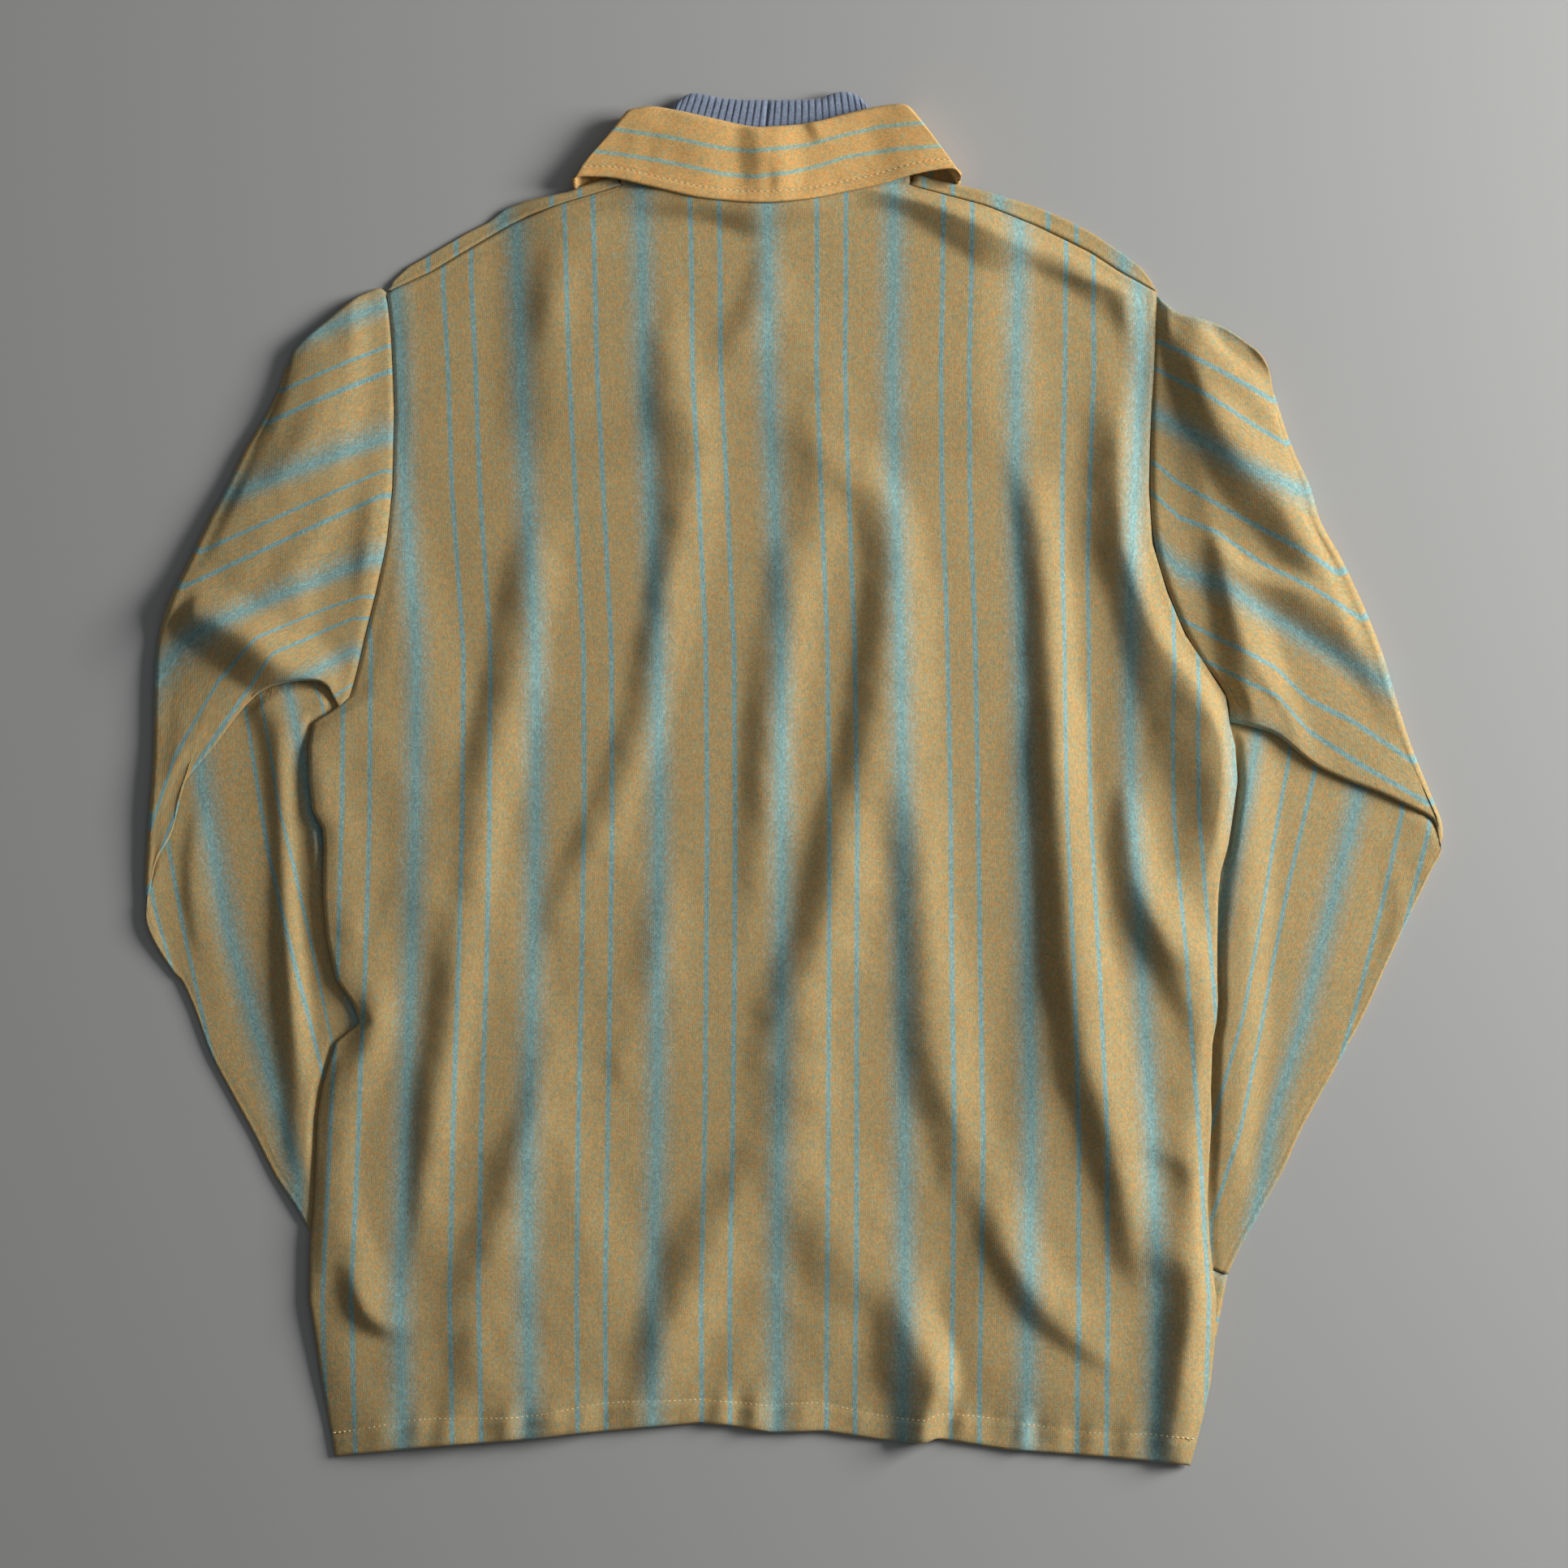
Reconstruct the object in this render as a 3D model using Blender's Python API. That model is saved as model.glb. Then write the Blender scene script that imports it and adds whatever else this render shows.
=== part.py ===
"""Long-sleeved pullover shirt with a turned-down collar and a ribbed neck band.

The shirt lies on its front, back panel up, spread flat.  Each sleeve leaves its
armhole, is folded under at the elbow and runs back beneath the side of the body.
X is across the shirt, Y runs from hem to collar and Z is up; the cloth rests on
z = 0.  Outlines are given in drawing units, X to the right and Y down from the
top left of the layout; heights are in millimetres.
"""
import math

import bmesh
import bpy

# ---------------------------------------------------------------- dimensions
UNIT = 0.475e-3            # one drawing unit, in metres
MID_X, MID_Y = 976.47, 960.05   # drawing point that lies over the origin
MM = 1e-3
WALL = 1.2                 # cloth thickness, mm
GAP = 0.3                  # space left between neighbouring layers and pieces, mm
SEAM = GAP * MM / UNIT     # the same space, in drawing units
COLLAR_WALL = 2.0          # the collar is two plies
RIB_WALL = 1.6             # the knit band is thicker than the body cloth
SLEEVE_STACK = 2 * WALL + GAP      # a sleeve pressed flat
SLEEVE_LIFT = 3.4          # how far the body is raised where a sleeve is beneath it
NECK_LIFT = 2.5            # how far the neck is raised by the collar's front leaves
FOLD_INNER = 1.65          # inner radius of the sleeves' elbow folds
EASE = 0.8                 # the two panels of the body lie this much apart inside


def table(columns, rows):
    """Rows of numbers as dictionaries with named columns."""
    names = columns.split()
    return [dict(zip(names, row)) for row in rows]


# Width of the body at stations from the neck down to the hem.
BODY = table("y left right", [
    (229, 765, 1121),
    (254, 683, 1215),
    (278, 625, 1278),
    (311, 568, 1345),
    (334, 530, 1380),
    (359, 476, 1426),
    (414, 482, 1424),
    (460, 484, 1422),
    (506, 486, 1419),
    (554, 485, 1417),
    (602, 484, 1416),
    (669, 477, 1422),
    (730, 464, 1440),
    (782, 451, 1462),
    (830, 438, 1490),
    (872, 428, 1511),
    (900, 383, 1516),
    (950, 380, 1525),
    (1021, 398, 1517),
    (1085, 398, 1501),
    (1155, 402, 1501),
    (1235, 434, 1500),
    (1262, 443, 1499),
    (1300, 408, 1493),
    (1379, 391, 1493),
    (1443, 388, 1490),
    (1532, 383, 1492),
    (1600, 382, 1499),
])
# Below the last station the rows bend gradually to the line of the hem.
HEM = table("x y", [
    (380, 1797), (512, 1785), (657, 1774), (803, 1760), (880, 1756),
    (950, 1766), (1088, 1776), (1154, 1775), (1243, 1788), (1352, 1796), (1500, 1809),
])
HEM_ROWS = table("share left right", [
    (0.33, 391, 1497),
    (0.66, 400, 1488),
    (1.00, 412, 1467),
])
# Shoulder seam on the back, and the line where the front panel folds over.
SHOULDER_LEFT = table("seam_x seam_y fold_x fold_y", [
    (476, 359, 482, 346),
    (503, 346.5, 503, 328),
    (530, 334, 526, 314),
    (568, 311, 570, 287),
    (625, 278, 622, 255),
    (683, 254, 676, 241),
    (724, 241.5, 720, 228),
    (765, 229, 760, 214),
])
SHOULDER_RIGHT = table("seam_x seam_y fold_x fold_y", [
    (1121, 229, 1126, 214),
    (1168, 241.5, 1173, 226),
    (1215, 254, 1222, 238),
    (1278, 278, 1284, 256),
    (1345, 311, 1345, 286),
    (1380, 334, 1384, 312),
    (1403, 346.5, 1404, 328),
    (1426, 359, 1420, 346),
])
# The front neckline, from the left shoulder down and up to the right one.
NECK_SIDE = table("share inset", [(0.0, 0), (0.25, 25), (0.5, 50), (0.75, 85)])

# The largest drapes of the back: a crest line through three points, how far the
# cloth slopes on its left and right, and how high it stands, in mm.
FOLDS = table("name x0 y0 x1 y1 x2 y2 left right high", [
    ("underarm_right", 1362, 505, 1405, 720, 1480, 900, 62, 46, 13.0),
    ("flank_right", 1268, 590, 1300, 1000, 1425, 1590, 36, 52, 11.0),
    ("waist_right", 1388, 1075, 1430, 1150, 1488, 1270, 36, 40, 8.0),
    ("centre_upper", 1090, 570, 1090, 800, 1040, 1060, 44, 60, 9.0),
    ("centre_lower", 1040, 1060, 1000, 1230, 950, 1470, 50, 70, 8.0),
    ("spine", 950, 760, 945, 930, 925, 1150, 34, 42, 6.0),
    ("blade_left", 850, 440, 865, 600, 760, 1030, 54, 70, 7.5),
    ("side_left", 655, 690, 625, 860, 610, 1010, 36, 44, 6.0),
    ("hip_left", 568, 1150, 535, 1320, 505, 1520, 34, 46, 6.5),
    ("hem_left", 900, 1400, 860, 1530, 820, 1700, 56, 60, 7.0),
    ("hip_right", 1130, 1050, 1150, 1250, 1200, 1480, 50, 60, 6.5),
    ("hem_right", 1240, 1490, 1290, 1600, 1380, 1700, 40, 44, 7.5),
    ("hem_centre", 1085, 1590, 1140, 1660, 1170, 1740, 50, 60, 8.0),
])

# Sleeves: rows from the armhole to the elbow fold (over = overarm edge, under =
# underarm seam edge), then the fold itself, then rows beneath the body.
SLEEVE_RIGHT = {
    "side": 1,
    "upper": table("over_x over_y under_x under_y share low crown", [
        (1476, 398, 1590, 918, 0.30, 4.2, 3.0),
        (1528, 440, 1684, 972, 0.68, 5.2, 3.0),
    ]),
    "fold": {"over": (1568, 474), "under": (1776, 1016), "bow_a": 0, "bow_b": 0},
    "lower": table("over_x over_y under_x under_y", [
        (1480, 815, 1694, 1210),
        (1388, 1157, 1604, 1392),
        (1297, 1499, 1514, 1571),
    ]),
    "cuff": table("over_x over_y under_x under_y", [
        (1296.6, 1500.2, 1513.6, 1572.2),
        (1279, 1573, 1497, 1645),
        (1262, 1645, 1480, 1716),
    ]),
}
SLEEVE_LEFT = {
    "side": -1,
    "upper": table("over_x over_y under_x under_y share low crown", [
        (425, 379, 345, 861, 0.30, 4.2, 4.0),
        (383, 415, 262, 930, 0.66, 5.2, 4.0),
    ]),
    "fold": {"over": (350, 458), "under": (177, 1104), "bow_a": 95, "bow_b": 60},
    "lower": table("over_x over_y under_x under_y", [
        (455, 816, 262, 1296),
        (560, 1173, 370, 1500),
        (664, 1530, 462, 1637),
    ]),
    "cuff": table("over_x over_y under_x under_y", [
        (664.4, 1530.9, 462.5, 1637.9),
        (692, 1595, 496, 1699),
        (720, 1659, 530, 1760),
    ]),
}
ARMHOLE = [359, 414, 460, 506, 554, 602, 669, 730, 782, 830, 868]

# The collar's back fall, left to right, from its roll to its free edge.
COLLAR_BACK = table("roll_x roll_y edge_x edge_y", [
    (800, 134, 745, 221),
    (834, 138, 800, 231),
    (880, 148, 856, 244),
    (930, 158, 926, 252),
    (979, 156, 985, 249),
    (1040, 144, 1050, 237),
    (1085, 134, 1105, 224),
    (1108, 132, 1150, 215),
])
COLLAR_SIDE = {"left": (773, 137, 706, 228), "right": (1133, 148, 1182, 217)}
# Its two front leaves under the neck, from the side fold to the leaf's front end.
COLLAR_LEAF_LEFT = table("roll_x roll_y edge_x edge_y", [
    (793, 190, 716, 262),
    (815, 250, 735, 325),
    (860, 310, 790, 395),
    (930, 338, 845, 450),
])
COLLAR_LEAF_RIGHT = table("roll_x roll_y edge_x edge_y", [
    (960, 338, 1043, 450),
    (1028, 310, 1097, 395),
    (1075, 250, 1152, 325),
    (1105, 190, 1170, 262),
])
# The ribbed neck band round the neck, from its top edge to its seam.
RIB_BACK = table("top_x top_y seam_x seam_y", [
    (840, 118, 800, 228.3),
    (866, 116, 850, 228.3),
    (905, 122, 897, 228.3),
    (949, 123, 944, 228.3),
    (995, 122, 991, 228.3),
    (1034, 114, 1038, 228.3),
    (1058, 118, 1086, 228.3),
])
RIB_SIDE = {"left": (824, 131, 770, 229), "right": (1075, 137, 1115, 229)}
RIB_FRONT = table("top_x top_y seam_x seam_y", [
    (1052, 185, 1091, 276),
    (1020, 235, 1066, 331),
    (985, 262, 1032, 383),
    (943, 268, 943, 383),
    (901, 262, 854, 383),
    (866, 235, 820, 331),
    (838, 185, 795, 276),
])

COLOURS = {
    "back": (0.42, 0.33, 0.17), "front": (0.40, 0.31, 0.16),
    "sleeve_left": (0.41, 0.32, 0.17), "sleeve_right": (0.43, 0.34, 0.18),
    "cuff_left": (0.38, 0.30, 0.16), "cuff_right": (0.38, 0.30, 0.16),
    "collar": (0.44, 0.35, 0.19), "neck_rib": (0.20, 0.24, 0.31),
}


# ------------------------------------------------------------------ helpers
def place(x, y, z):
    """A drawing point and a height in mm, as a point in metres."""
    return ((x - MID_X) * UNIT, (MID_Y - y) * UNIT, z * MM)


def mix(a, b, t):
    return a + (b - a) * t


def smooth(t):
    t = min(1.0, max(0.0, t))
    return t * t * (3 - 2 * t)


def between(rows, key, value, want):
    """Column want of a table, read at value of column key, on straight lines."""
    for a, b in zip(rows, rows[1:]):
        if value <= b[key]:
            t = (value - a[key]) / (b[key] - a[key])
            return mix(a[want], b[want], min(1.0, max(0.0, t)))
    return rows[-1][want]


def body_rows(ys):
    """(points share, left, right) of the body at each station and hem row."""
    rows = [(y, between(BODY, "y", y, "left"), between(BODY, "y", y, "right"), None) for y in ys]
    rows += [(None, r["left"], r["right"], r["share"]) for r in HEM_ROWS]
    return rows


def row_point(row, u):
    y, left, right, share = row
    x = mix(left, right, u)
    if share is not None:
        y = mix(BODY[-1]["y"], between(HEM, "x", x, "y"), share)
    return x, y


def segment_distance(x, y, ax, ay, bx, by):
    """Distance to a segment, the share along it, and the side (right is +)."""
    dx, dy = bx - ax, by - ay
    t = ((x - ax) * dx + (y - ay) * dy) / (dx * dx + dy * dy)
    t = min(1.0, max(0.0, t))
    px, py = ax + dx * t, ay + dy * t
    side = (x - ax) * dy - (y - ay) * dx
    return math.hypot(x - px, y - py), t, 1 if side > 0 else -1


def polygon_distance(x, y, corners):
    """Distance outside a polygon; 0 inside."""
    inside, best = False, 1e9
    for (ax, ay), (bx, by) in zip(corners, corners[1:] + corners[:1]):
        best = min(best, segment_distance(x, y, ax, ay, bx, by)[0])
        if (ay > y) != (by > y) and x < ax + (y - ay) * (bx - ax) / (by - ay):
            inside = not inside
    return 0.0 if inside else best


def footprint(sleeve):
    """Outline of the sleeve's lower half and cuff, beneath the body."""
    over = [sleeve["fold"]["over"]] + [(r["over_x"], r["over_y"]) for r in sleeve["lower"]]
    under = [sleeve["fold"]["under"]] + [(r["under_x"], r["under_y"]) for r in sleeve["lower"]]
    end = sleeve["cuff"][-1]
    over.append((end["over_x"], end["over_y"]))
    under.append((end["under_x"], end["under_y"]))
    return over + under[::-1]


FOOTPRINTS = [footprint(SLEEVE_LEFT), footprint(SLEEVE_RIGHT)]


def neck_zone(x, y):
    """1 over the collar's front leaves, falling to 0 down and across."""
    return smooth((1290 - x) / 90) * smooth((x - 600) / 90) * smooth((590 - y) / 100)


def front_low(x, y):
    """Underside of the front panel, mm above the surface it rests on."""
    away = min(polygon_distance(x, y, f) for f in FOOTPRINTS)
    return max(NECK_LIFT * neck_zone(x, y), SLEEVE_LIFT * smooth((125 - away) / 80))


def drape(x, y):
    """Height of the largest drapes, mm."""
    total = 0.0
    for f in FOLDS:
        d0, t0, s0 = segment_distance(x, y, f["x0"], f["y0"], f["x1"], f["y1"])
        d1, t1, s1 = segment_distance(x, y, f["x1"], f["y1"], f["x2"], f["y2"])
        d, t, s = (d0, t0 / 2, s0) if d0 < d1 else (d1, 0.5 + t1 / 2, s1)
        width = f["right"] if s > 0 else f["left"]
        ends = smooth(t / 0.25 + 0.15) * smooth((1 - t) / 0.25 + 0.15)
        total += f["high"] * ends * math.exp(-((d / width) ** 2))
    return total


def back_low(x, y, edge=1e9):
    """Underside of the back panel; it meets the front panel at its edges."""
    lift = NECK_LIFT * neck_zone(x, y)
    ease = EASE * smooth(edge / 40) + drape(x, y) * smooth(edge / 70)
    return front_low(x, y) + WALL + GAP + lift + ease


def material(name):
    made = bpy.data.materials.new(name)
    made.use_nodes = True
    shader = made.node_tree.nodes["Principled BSDF"]
    shader.inputs["Base Color"].default_value = (*COLOURS[name], 1)
    shader.inputs["Roughness"].default_value = 0.9
    shader.inputs["Metallic"].default_value = 0.0
    made.diffuse_color = (*COLOURS[name], 1)
    return made


def cloth(name, outer, inner, keep=None, ring=False):
    """A closed wall between two grids of points, outer[i][j] and inner[i][j].

    keep(i, j) says which cells exist, and ring joins the last j to the first.
    """
    ni, nj = len(outer), len(outer[0])
    cells = {(i, j) for i in range(ni - 1) for j in range(nj if ring else nj - 1)
             if keep is None or keep(i, j)}
    mesh = bmesh.new()
    made = {}

    def vert(side, i, j):
        j %= nj
        if (side, i, j) not in made:
            made[side, i, j] = mesh.verts.new((outer if side else inner)[i][j])
        return made[side, i, j]

    for i, j in sorted(cells):
        for ring_of in ([(i, j), (i + 1, j), (i + 1, j + 1)], [(i, j), (i + 1, j + 1), (i, j + 1)]):
            mesh.faces.new([vert(1, *p) for p in ring_of])
            mesh.faces.new([vert(0, *p) for p in ring_of[::-1]])
        left, right = (i, j - 1), (i, j + 1)
        if ring:
            left, right = (i, (j - 1) % nj), (i, (j + 1) % nj)
        for a, b, other in (((i, j), (i, j + 1), (i - 1, j)), ((i + 1, j), (i + 1, j + 1), (i + 1, j)),
                            ((i, j), (i + 1, j), left), ((i, j + 1), (i + 1, j + 1), right)):
            if other not in cells:
                mesh.faces.new([vert(1, *a), vert(1, *b), vert(0, *b), vert(0, *a)])
    bmesh.ops.recalc_face_normals(mesh, faces=mesh.faces)
    bmesh.ops.triangulate(mesh, faces=mesh.faces)
    data = bpy.data.meshes.new(name)
    mesh.to_mesh(data)
    mesh.free()
    thing = bpy.data.objects.new(name, data)
    bpy.context.scene.collection.objects.link(thing)
    data.materials.append(material(name))
    data.shade_smooth()
    data.set_sharp_from_angle(angle=math.radians(50))
    return thing


# ------------------------------------------------------------------- panels
# Both panels have the same columns: over the left shoulder, across the neck,
# over the right shoulder.
LEFT_EDGE, RIGHT_EDGE = SHOULDER_LEFT[0]["seam_x"], SHOULDER_RIGHT[-1]["seam_x"]
NECK_COLUMNS = 7
SHARES = [(s["seam_x"] - LEFT_EDGE) / (RIGHT_EDGE - LEFT_EDGE) for s in SHOULDER_LEFT]
NECK_FROM, NECK_TO = SHARES[-1], (SHOULDER_RIGHT[0]["seam_x"] - LEFT_EDGE) / (RIGHT_EDGE - LEFT_EDGE)
SHARES += [mix(NECK_FROM, NECK_TO, k / (NECK_COLUMNS + 1)) for k in range(1, NECK_COLUMNS + 1)]
SHARES += [(s["seam_x"] - LEFT_EDGE) / (RIGHT_EDGE - LEFT_EDGE) for s in SHOULDER_RIGHT]


def make_back():
    rows = body_rows([r["y"] for r in BODY])
    outer, inner = [], []
    for row in rows:
        low, top = [], []
        for u in SHARES:
            x, y = row_point(row, u)
            edge = min(x - row[1], row[2] - x)
            z = back_low(x, y, edge)
            low.append(place(x, y, z))
            top.append(place(x, y, z + WALL))
        inner.append(low)
        outer.append(top)
    return cloth("back", outer, inner)


def make_front():
    """The front panel: its strips over the shoulders, the fold, then the floor."""
    shares = SHARES
    strips = SHOULDER_LEFT + [None] * NECK_COLUMNS + SHOULDER_RIGHT
    neck = (7, 7 + NECK_COLUMNS)       # cells between which the neck is open
    outer, inner = [], []

    def strip_row(kind):
        out, inn = [], []
        for c, s in enumerate(strips):
            if s is None:
                out.append(place(943, 380, 3))
                inn.append(place(943, 380, 2))
                continue
            sx, sy, fx, fy = s["seam_x"], s["seam_y"] - 2 * SEAM, s["fold_x"], s["fold_y"]
            high, low = back_low(sx, sy), front_low(fx, fy + 20)
            centre, radius = (high + WALL + low) / 2, (high + WALL - low) / 2
            reach = radius * MM / UNIT
            if kind == "seam":
                out.append(place(sx, sy, high + WALL))
                inn.append(place(sx, sy, high))
            else:
                angle = math.radians(kind)
                for points, r in ((out, radius), (inn, radius - WALL)):
                    share = r * MM / UNIT
                    points.append(place(fx, fy + reach - share * math.sin(angle),
                                        centre + r * math.cos(angle)))
        outer.append(out)
        inner.append(inn)

    strip_row("seam")
    for angle in (0, 45, 90, 135, 180):
        strip_row(angle)
    first = len(outer)                 # rows from here lie on the floor side
    side_shares = [0.25, 0.5, 0.75, 1.0]
    for share in side_shares:
        out, inn = [], []
        for c, u in enumerate(shares):
            s = strips[c]
            x = mix(LEFT_EDGE, RIGHT_EDGE, u)
            start = s["fold_y"] + 8 if s else 222
            y = mix(start, 440, share)
            if c in (0, len(shares) - 1):
                x = between(BODY, "y", y, "left" if c == 0 else "right")
            inset = between(NECK_SIDE, "share", share, "inset") if share < 1 else 60
            if c == neck[0]:
                x += inset
            if c == neck[1] + 1:
                x -= inset
            if share == 0.75 and neck[0] <= c <= neck[1] + 1:
                y = 385
            z = front_low(x, y)
            out.append(place(x, y, z))
            inn.append(place(x, y, z + WALL))
        outer.append(out)
        inner.append(inn)
    notch = first + 2                  # the row along the bottom of the neckline
    for row in body_rows([r["y"] for r in BODY if r["y"] > 440]):
        out, inn = [], []
        for u in shares:
            x, y = row_point(row, u)
            z = front_low(x, y)
            out.append(place(x, y, z))
            inn.append(place(x, y, z + WALL))
        outer.append(out)
        inner.append(inn)

    def keep(i, j):
        return not (i < notch and neck[0] <= j <= neck[1])

    return cloth("front", outer, inner, keep)


# ------------------------------------------------------------------ sleeves
def ring(points, levels, outwards, point):
    """Outer and inner rings of a flat tube round a row of points.

    levels are the heights of the lower outer, lower inner, upper inner and
    upper outer faces at each point, and point(p, level, out) places one.
    """
    n = len(points)
    upper = [point(k, levels[k][3], 0.0) for k in range(n)]
    lower = [point(k, levels[k][0], 0.0) for k in range(n)]
    first = point(0, (levels[0][0] + levels[0][3]) / 2, -1.0)
    last = point(n - 1, (levels[-1][0] + levels[-1][3]) / 2, 1.0)
    outer = upper + [last] + lower[::-1] + [first]
    pull = [0.0] * n
    pull[0], pull[-1] = 1.2, -1.2
    upper = [point(k, levels[k][2], pull[k]) for k in range(n)]
    lower = [point(k, levels[k][1], pull[k]) for k in range(n)]
    first = point(0, (levels[0][1] + levels[0][2]) / 2, 0.7)
    last = point(n - 1, (levels[-1][1] + levels[-1][2]) / 2, -0.7)
    inner = upper + [last] + lower[::-1] + [first]
    return outer, inner


def make_sleeve(name, sleeve):
    side = sleeve["side"]
    n = len(ARMHOLE)
    key = "right" if side > 0 else "left"
    hole = [(between(BODY, "y", y, key) + side * SEAM, y) for y in ARMHOLE]
    shares = [(y - ARMHOLE[0]) / (ARMHOLE[-1] - ARMHOLE[0]) for y in ARMHOLE]
    fold = sleeve["fold"]
    (ox, oy), (ux, uy) = fold["over"], fold["under"]
    line = []
    for v in shares:
        bow = 3 * v * (1 - v) ** 2 * fold["bow_a"] + 3 * v * v * (1 - v) * fold["bow_b"]
        line.append((mix(ox, ux, v) + side * bow, mix(oy, uy, v)))
    normals = []
    for k in range(n):
        a, b = line[max(0, k - 1)], line[min(n - 1, k + 1)]
        dx, dy = b[0] - a[0], b[1] - a[1]
        length = math.hypot(dx, dy)
        nx, ny = dy / length, -dx / length
        if nx * side < 0:
            nx, ny = -nx, -ny
        normals.append((nx, ny))
    outer, inner = [], []

    def along(points, k, shift):
        """A point moved along its row, shift mm, away from the overarm edge."""
        a, b = points[max(0, k - 1)], points[min(n - 1, k + 1)]
        dx, dy = b[0] - a[0], b[1] - a[1]
        length = math.hypot(dx, dy)
        s = shift * MM / UNIT
        return points[k][0] + dx / length * s, points[k][1] + dy / length * s

    def flat_row(points, levels):
        def point(k, level, shift):
            x, y = along(points, k, shift)
            return place(x, y, level)
        o, i = ring(points, levels, None, point)
        outer.append(o)
        inner.append(i)

    # the armhole meets the body's two panels
    levels = []
    for x, y in hole:
        edge_x = x - side * SEAM
        low, high = front_low(edge_x, y), back_low(edge_x, y, 0)
        levels.append((low, low + WALL, high, high + WALL))
    flat_row(hole, levels)
    # ruled rows on to the elbow, crowned where the cloth stands a little open
    for row in sleeve["upper"]:
        points, levels = [], []
        chord = lambda v: (mix(row["over_x"], row["under_x"], v), mix(row["over_y"], row["under_y"], v))
        for k, v in enumerate(shares):
            bend = (mix(hole[k][0] - mix(hole[0][0], hole[-1][0], v),
                        line[k][0] - mix(line[0][0], line[-1][0], v), row["share"]))
            x, y = chord(v)
            points.append((x + bend, y))
            crown = row["crown"] * math.sin(math.pi * v)
            low = row["low"]
            levels.append((low, low + WALL, low + WALL + GAP + crown, low + 2 * WALL + GAP + crown))
        flat_row(points, levels)
    # the elbow fold: the stack turns over about an axis along the fold line
    radii = (FOLD_INNER, FOLD_INNER + WALL, FOLD_INNER + WALL + GAP, FOLD_INNER + SLEEVE_STACK)
    axis_z = radii[3]
    for degrees in (0, 45, 90, 135, 180):
        angle = math.radians(degrees)

        def point(k, level, shift):
            x, y = along(line, k, shift)
            nx, ny = normals[k]
            out = (level * math.sin(angle) - radii[3]) * MM / UNIT
            return place(x + nx * out, y + ny * out, axis_z + level * math.cos(angle))
        o, i = ring(line, [radii] * n, None, point)
        outer.append(o)
        inner.append(i)
    # beneath the body the stack lies upside down on the surface
    for row in sleeve["lower"]:
        points = [(mix(row["over_x"], row["under_x"], v), mix(row["over_y"], row["under_y"], v)) for v in shares]
        flipped = (SLEEVE_STACK, SLEEVE_STACK - WALL, WALL, 0.0)
        flat_row(points, [flipped] * n)
    cloth(name, outer, inner, ring=True)


def make_cuff(name, sleeve):
    n = 6
    outer, inner = [], []
    for row in sleeve["cuff"]:
        points = [(mix(row["over_x"], row["under_x"], k / (n - 1)),
                   mix(row["over_y"], row["under_y"], k / (n - 1))) for k in range(n)]
        dx, dy = points[-1][0] - points[0][0], points[-1][1] - points[0][1]
        length = math.hypot(dx, dy)

        def point(k, level, shift):
            s = shift * MM / UNIT
            return place(points[k][0] + dx / length * s, points[k][1] + dy / length * s, level)
        o, i = ring(points, [(0.0, WALL, WALL + GAP, SLEEVE_STACK)] * n, None, point)
        outer.append(o)
        inner.append(i)
    cloth(name, outer, inner, ring=True)


# --------------------------------------------------------- collar and neck
def wrap(stations, wall, steps, keys):
    """Rows round a flattened band: (a_x, a_y, b_x, b_y, z, angle, radius) each.

    a is the upper line and b the lower; angle is the way the wall faces, 0 up,
    180 down; z and radius place the wall's outer face.
    """
    outer, inner = [], []
    for ax, ay, bx, by, centre, radius, angle, side in stations:
        out, inn = [], []
        turn = math.radians(angle)
        for k in range(steps + 1):
            t = k / steps
            x, y = mix(ax, bx, t), mix(ay, by, t)
            for points, r in ((out, radius), (inn, radius - wall)):
                shift = (r - radius) if keys else r
                reach = shift * math.sin(turn) * MM / UNIT * side
                points.append(place(x + reach, y, centre + r * math.cos(turn)))
        outer.append(out)
        inner.append(inn)
    return outer, inner


def make_collar():
    """One band in the form of a flat C: front leaf, side, back fall, side, leaf."""
    top = 2 * NECK_LIFT + 2 * WALL + GAP + WALL + 2 * GAP + COLLAR_WALL + 0.5
    centre, radius = top / 2, top / 2
    stations = []
    for r in reversed(COLLAR_LEAF_LEFT):
        stations.append((r["roll_x"], r["roll_y"], r["edge_x"], r["edge_y"], centre, radius, 180, -1))
    for angle in (150, 120, 90, 60, 30):
        stations.append((*COLLAR_SIDE["left"], centre, radius, angle, -1))
    for r in COLLAR_BACK:
        stations.append((r["roll_x"], r["roll_y"], r["edge_x"], r["edge_y"], centre, radius, 0, 1))
    for angle in (30, 60, 90, 120, 150):
        stations.append((*COLLAR_SIDE["right"], centre, radius, angle, 1))
    for r in reversed(COLLAR_LEAF_RIGHT):
        stations.append((r["roll_x"], r["roll_y"], r["edge_x"], r["edge_y"], centre, radius, 180, 1))
    # on the sides the wall's outer face meets the drawn line
    fixed = []
    for ax, ay, bx, by, c, r, angle, side in stations:
        inset = r * MM / UNIT * side if 0 < angle < 180 else 0
        fixed.append((ax - inset, ay, bx - inset, by, c, r, angle, side))
    outer, inner = wrap(fixed, COLLAR_WALL, 4, False)
    cloth("collar", outer, inner)


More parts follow.
